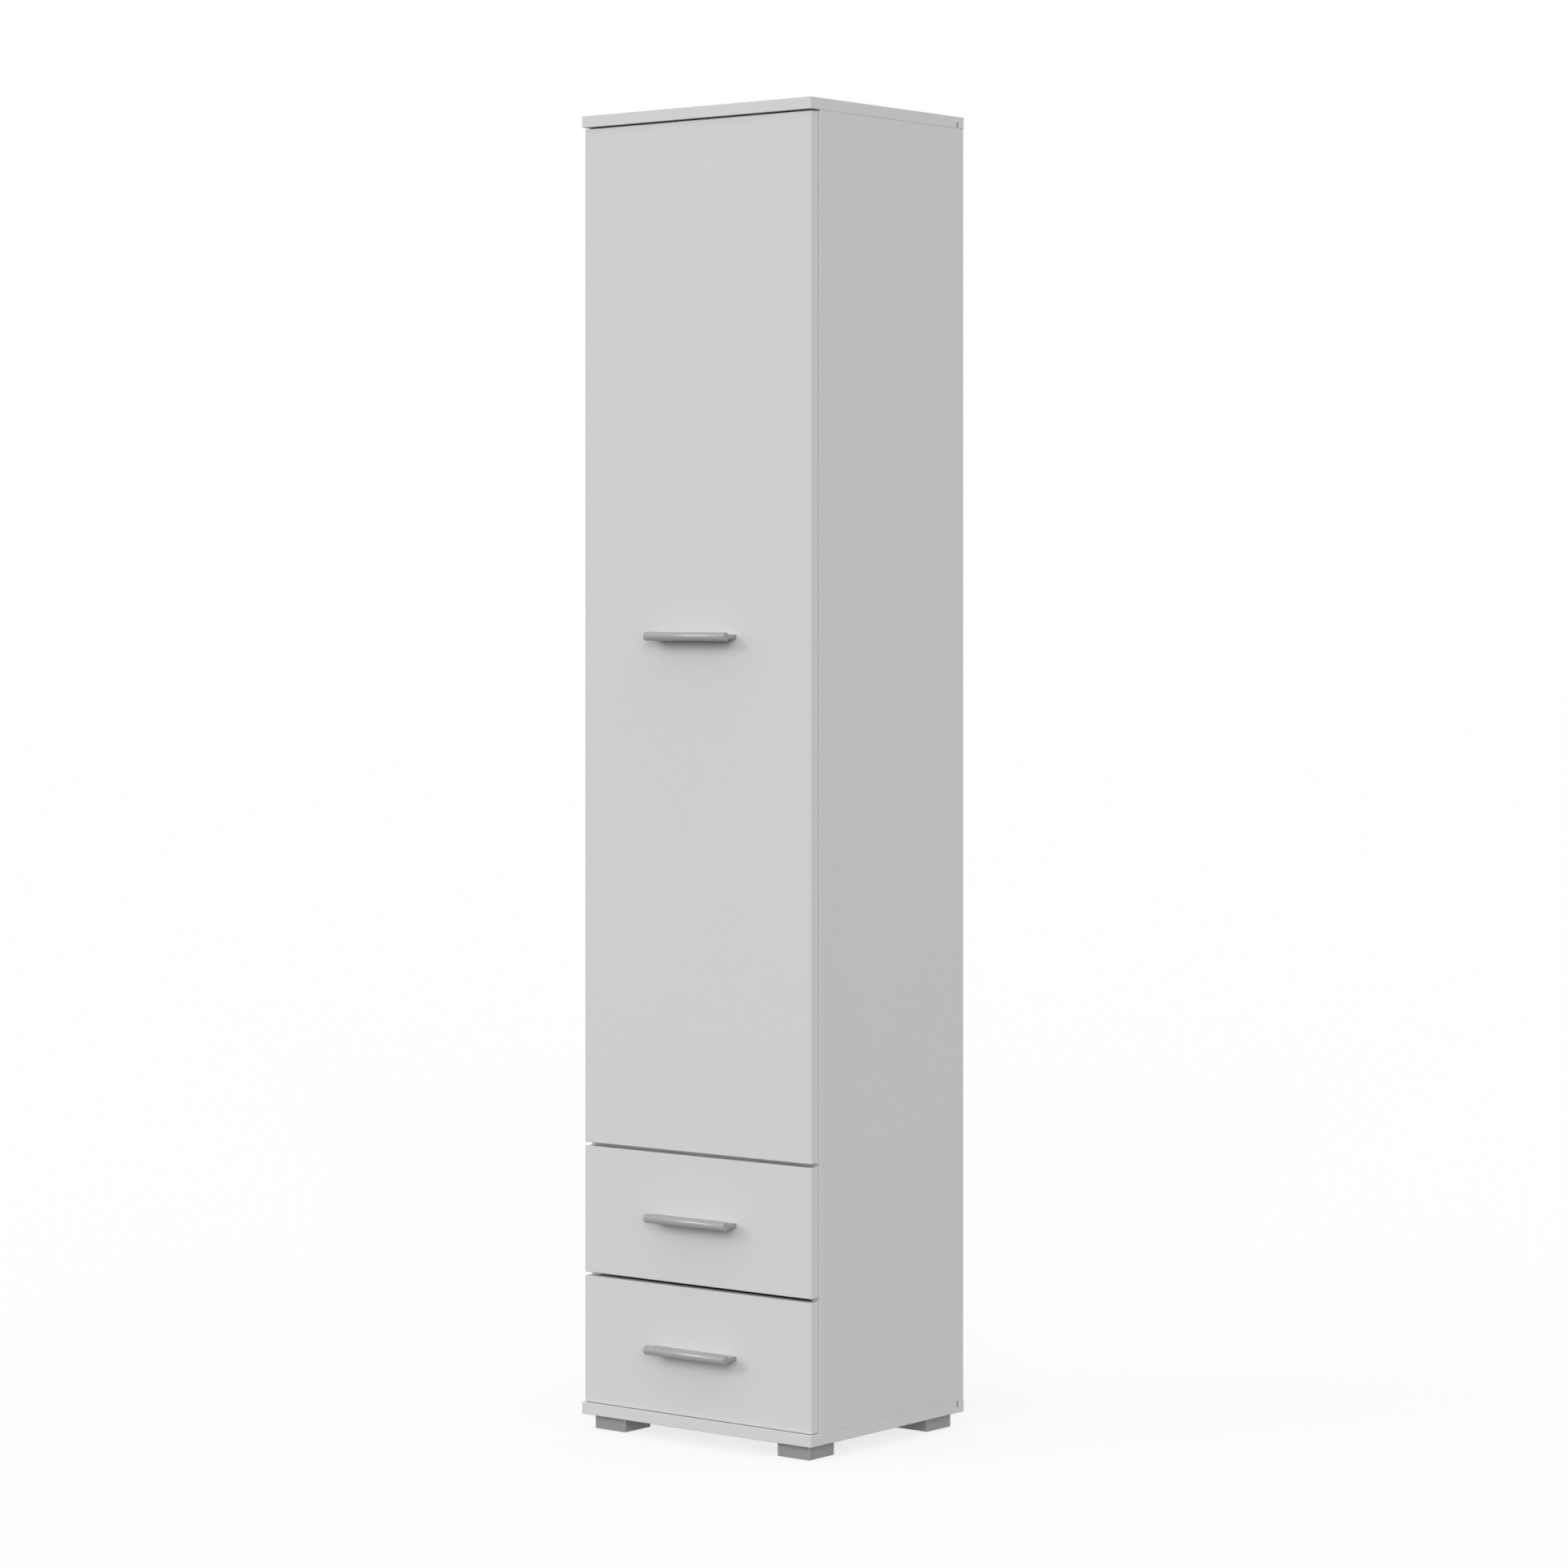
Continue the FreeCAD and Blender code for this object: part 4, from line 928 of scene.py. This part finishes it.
# Studio: an even pale sky over a plain white floor, which gives little light back, so undersides stay dark.
# A broad soft lamp stands low at the front right, and a weaker one, smaller and higher, at the front left.
FLOOR_REACH = 40.0
FLOOR_WHITE = (0.82, 0.82, 0.82, 1.0)
FLOOR_BOUNCE = (0.08, 0.08, 0.08, 1.0)
FLOOR_GLOW = 0.8
PLAIN_WHITE = (1.0, 1.0, 1.0, 1.0)
SKY_ABOVE = 1.0
SKY_BELOW = 0.15
HORIZON_BLUR = 0.1
LAMPS = {
    "right_lamp": (Vector((0.585, -0.76, 0.283)), 1.376, 34.0),
    "left_lamp": (Vector((-0.55, -0.73, 0.41)), 0.55, 20.0),
}


def seen_directly(tree):
    """1 for rays from the camera and for rays in gloss and glass, which all show the plain background."""
    path = add_node(tree, "ShaderNodeLightPath").outputs
    either = calc(tree, "MAXIMUM", path["Is Camera Ray"], path["Is Glossy Ray"])
    return calc(tree, "MAXIMUM", either, path["Is Transmission Ray"])


floor_mesh = bpy.data.meshes.new("floor")
corners = [(-FLOOR_REACH, -FLOOR_REACH, 0.0), (FLOOR_REACH, -FLOOR_REACH, 0.0)]
corners += [(FLOOR_REACH, FLOOR_REACH, 0.0), (-FLOOR_REACH, FLOOR_REACH, 0.0)]
floor_mesh.from_pydata(corners, [], [(0, 1, 2, 3)])
floor = bpy.data.objects.new("floor", floor_mesh)
bpy.context.scene.collection.objects.link(floor)
floor_finish = bpy.data.materials.new("floor_white")
floor_finish.use_nodes = True
tree = floor_finish.node_tree
tree.nodes.remove(tree.nodes["Principled BSDF"])
dim = add_node(tree, "ShaderNodeBsdfDiffuse", {"Color": FLOOR_BOUNCE}).outputs[0]
lit = add_node(tree, "ShaderNodeBsdfDiffuse", {"Color": FLOOR_WHITE}).outputs[0]
glow = add_node(tree, "ShaderNodeEmission", {"Color": PLAIN_WHITE, "Strength": 1.0}).outputs[0]
white = add_node(tree, "ShaderNodeMixShader", {0: FLOOR_GLOW, 1: lit, 2: glow}).outputs[0]
shown = add_node(tree, "ShaderNodeMixShader", {0: seen_directly(tree), 1: dim, 2: white}).outputs[0]
tree.links.new(shown, tree.nodes["Material Output"].inputs["Surface"])
floor_mesh.materials.append(floor_finish)
floor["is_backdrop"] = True

sky = bpy.data.worlds.new("studio_sky")
bpy.context.scene.world = sky
sky.use_nodes = True
tree = sky.node_tree
way = add_node(tree, "ShaderNodeSeparateXYZ", {0: add_node(tree, "ShaderNodeTexCoord").outputs["Generated"]})
sockets = {"Value": way.outputs["Z"], "From Min": -HORIZON_BLUR, "From Max": HORIZON_BLUR}
rise = add_node(tree, "ShaderNodeMapRange", sockets).outputs["Result"]
strength = ranged(tree, rise, SKY_BELOW, SKY_ABOVE)
lit = add_node(tree, "ShaderNodeBackground", {"Color": PLAIN_WHITE, "Strength": strength}).outputs[0]
plain = add_node(tree, "ShaderNodeBackground", {"Color": PLAIN_WHITE, "Strength": 1.0}).outputs[0]
shown = add_node(tree, "ShaderNodeMixShader", {0: seen_directly(tree), 1: lit, 2: plain}).outputs[0]
tree.links.new(shown, tree.nodes["World Output"].inputs["Surface"])

for name, (aim, power, spread) in LAMPS.items():
    lamp = bpy.data.lights.new(name, "SUN")
    lamp.energy = power
    lamp.angle = math.radians(spread)
    lamp_stand = bpy.data.objects.new(name, lamp)
    lamp_stand.rotation_euler = aim.to_track_quat("Z", "Y").to_euler()
    bpy.context.scene.collection.objects.link(lamp_stand)

# Camera: level, at a standing person's chest height, to the right of the front.
# The lens is shifted down, as the photograph's verticals are parallel and its horizon lies above the middle.
PICTURE = 1932.0
FOCAL_PIXELS = 5527.9
HORIZON_ROW = 731.75
SENSOR = 36.0
CAMERA_PLACE = (3.858, -4.796, 1.1447)
CAMERA_TURN = 38.607
camera_data = bpy.data.cameras.new("camera")
camera_data.sensor_width = SENSOR
camera_data.lens = SENSOR * FOCAL_PIXELS / PICTURE
camera_data.shift_y = (HORIZON_ROW - PICTURE / 2) / PICTURE
camera = bpy.data.objects.new("camera", camera_data)
camera.location = CAMERA_PLACE
camera.rotation_euler = (math.radians(90.0), 0.0, math.radians(CAMERA_TURN))
bpy.context.scene.collection.objects.link(camera)
bpy.context.scene.camera = camera
bpy.context.scene.view_settings.view_transform = "Standard"

boxes = {"cad": cad_box, "visual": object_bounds()}
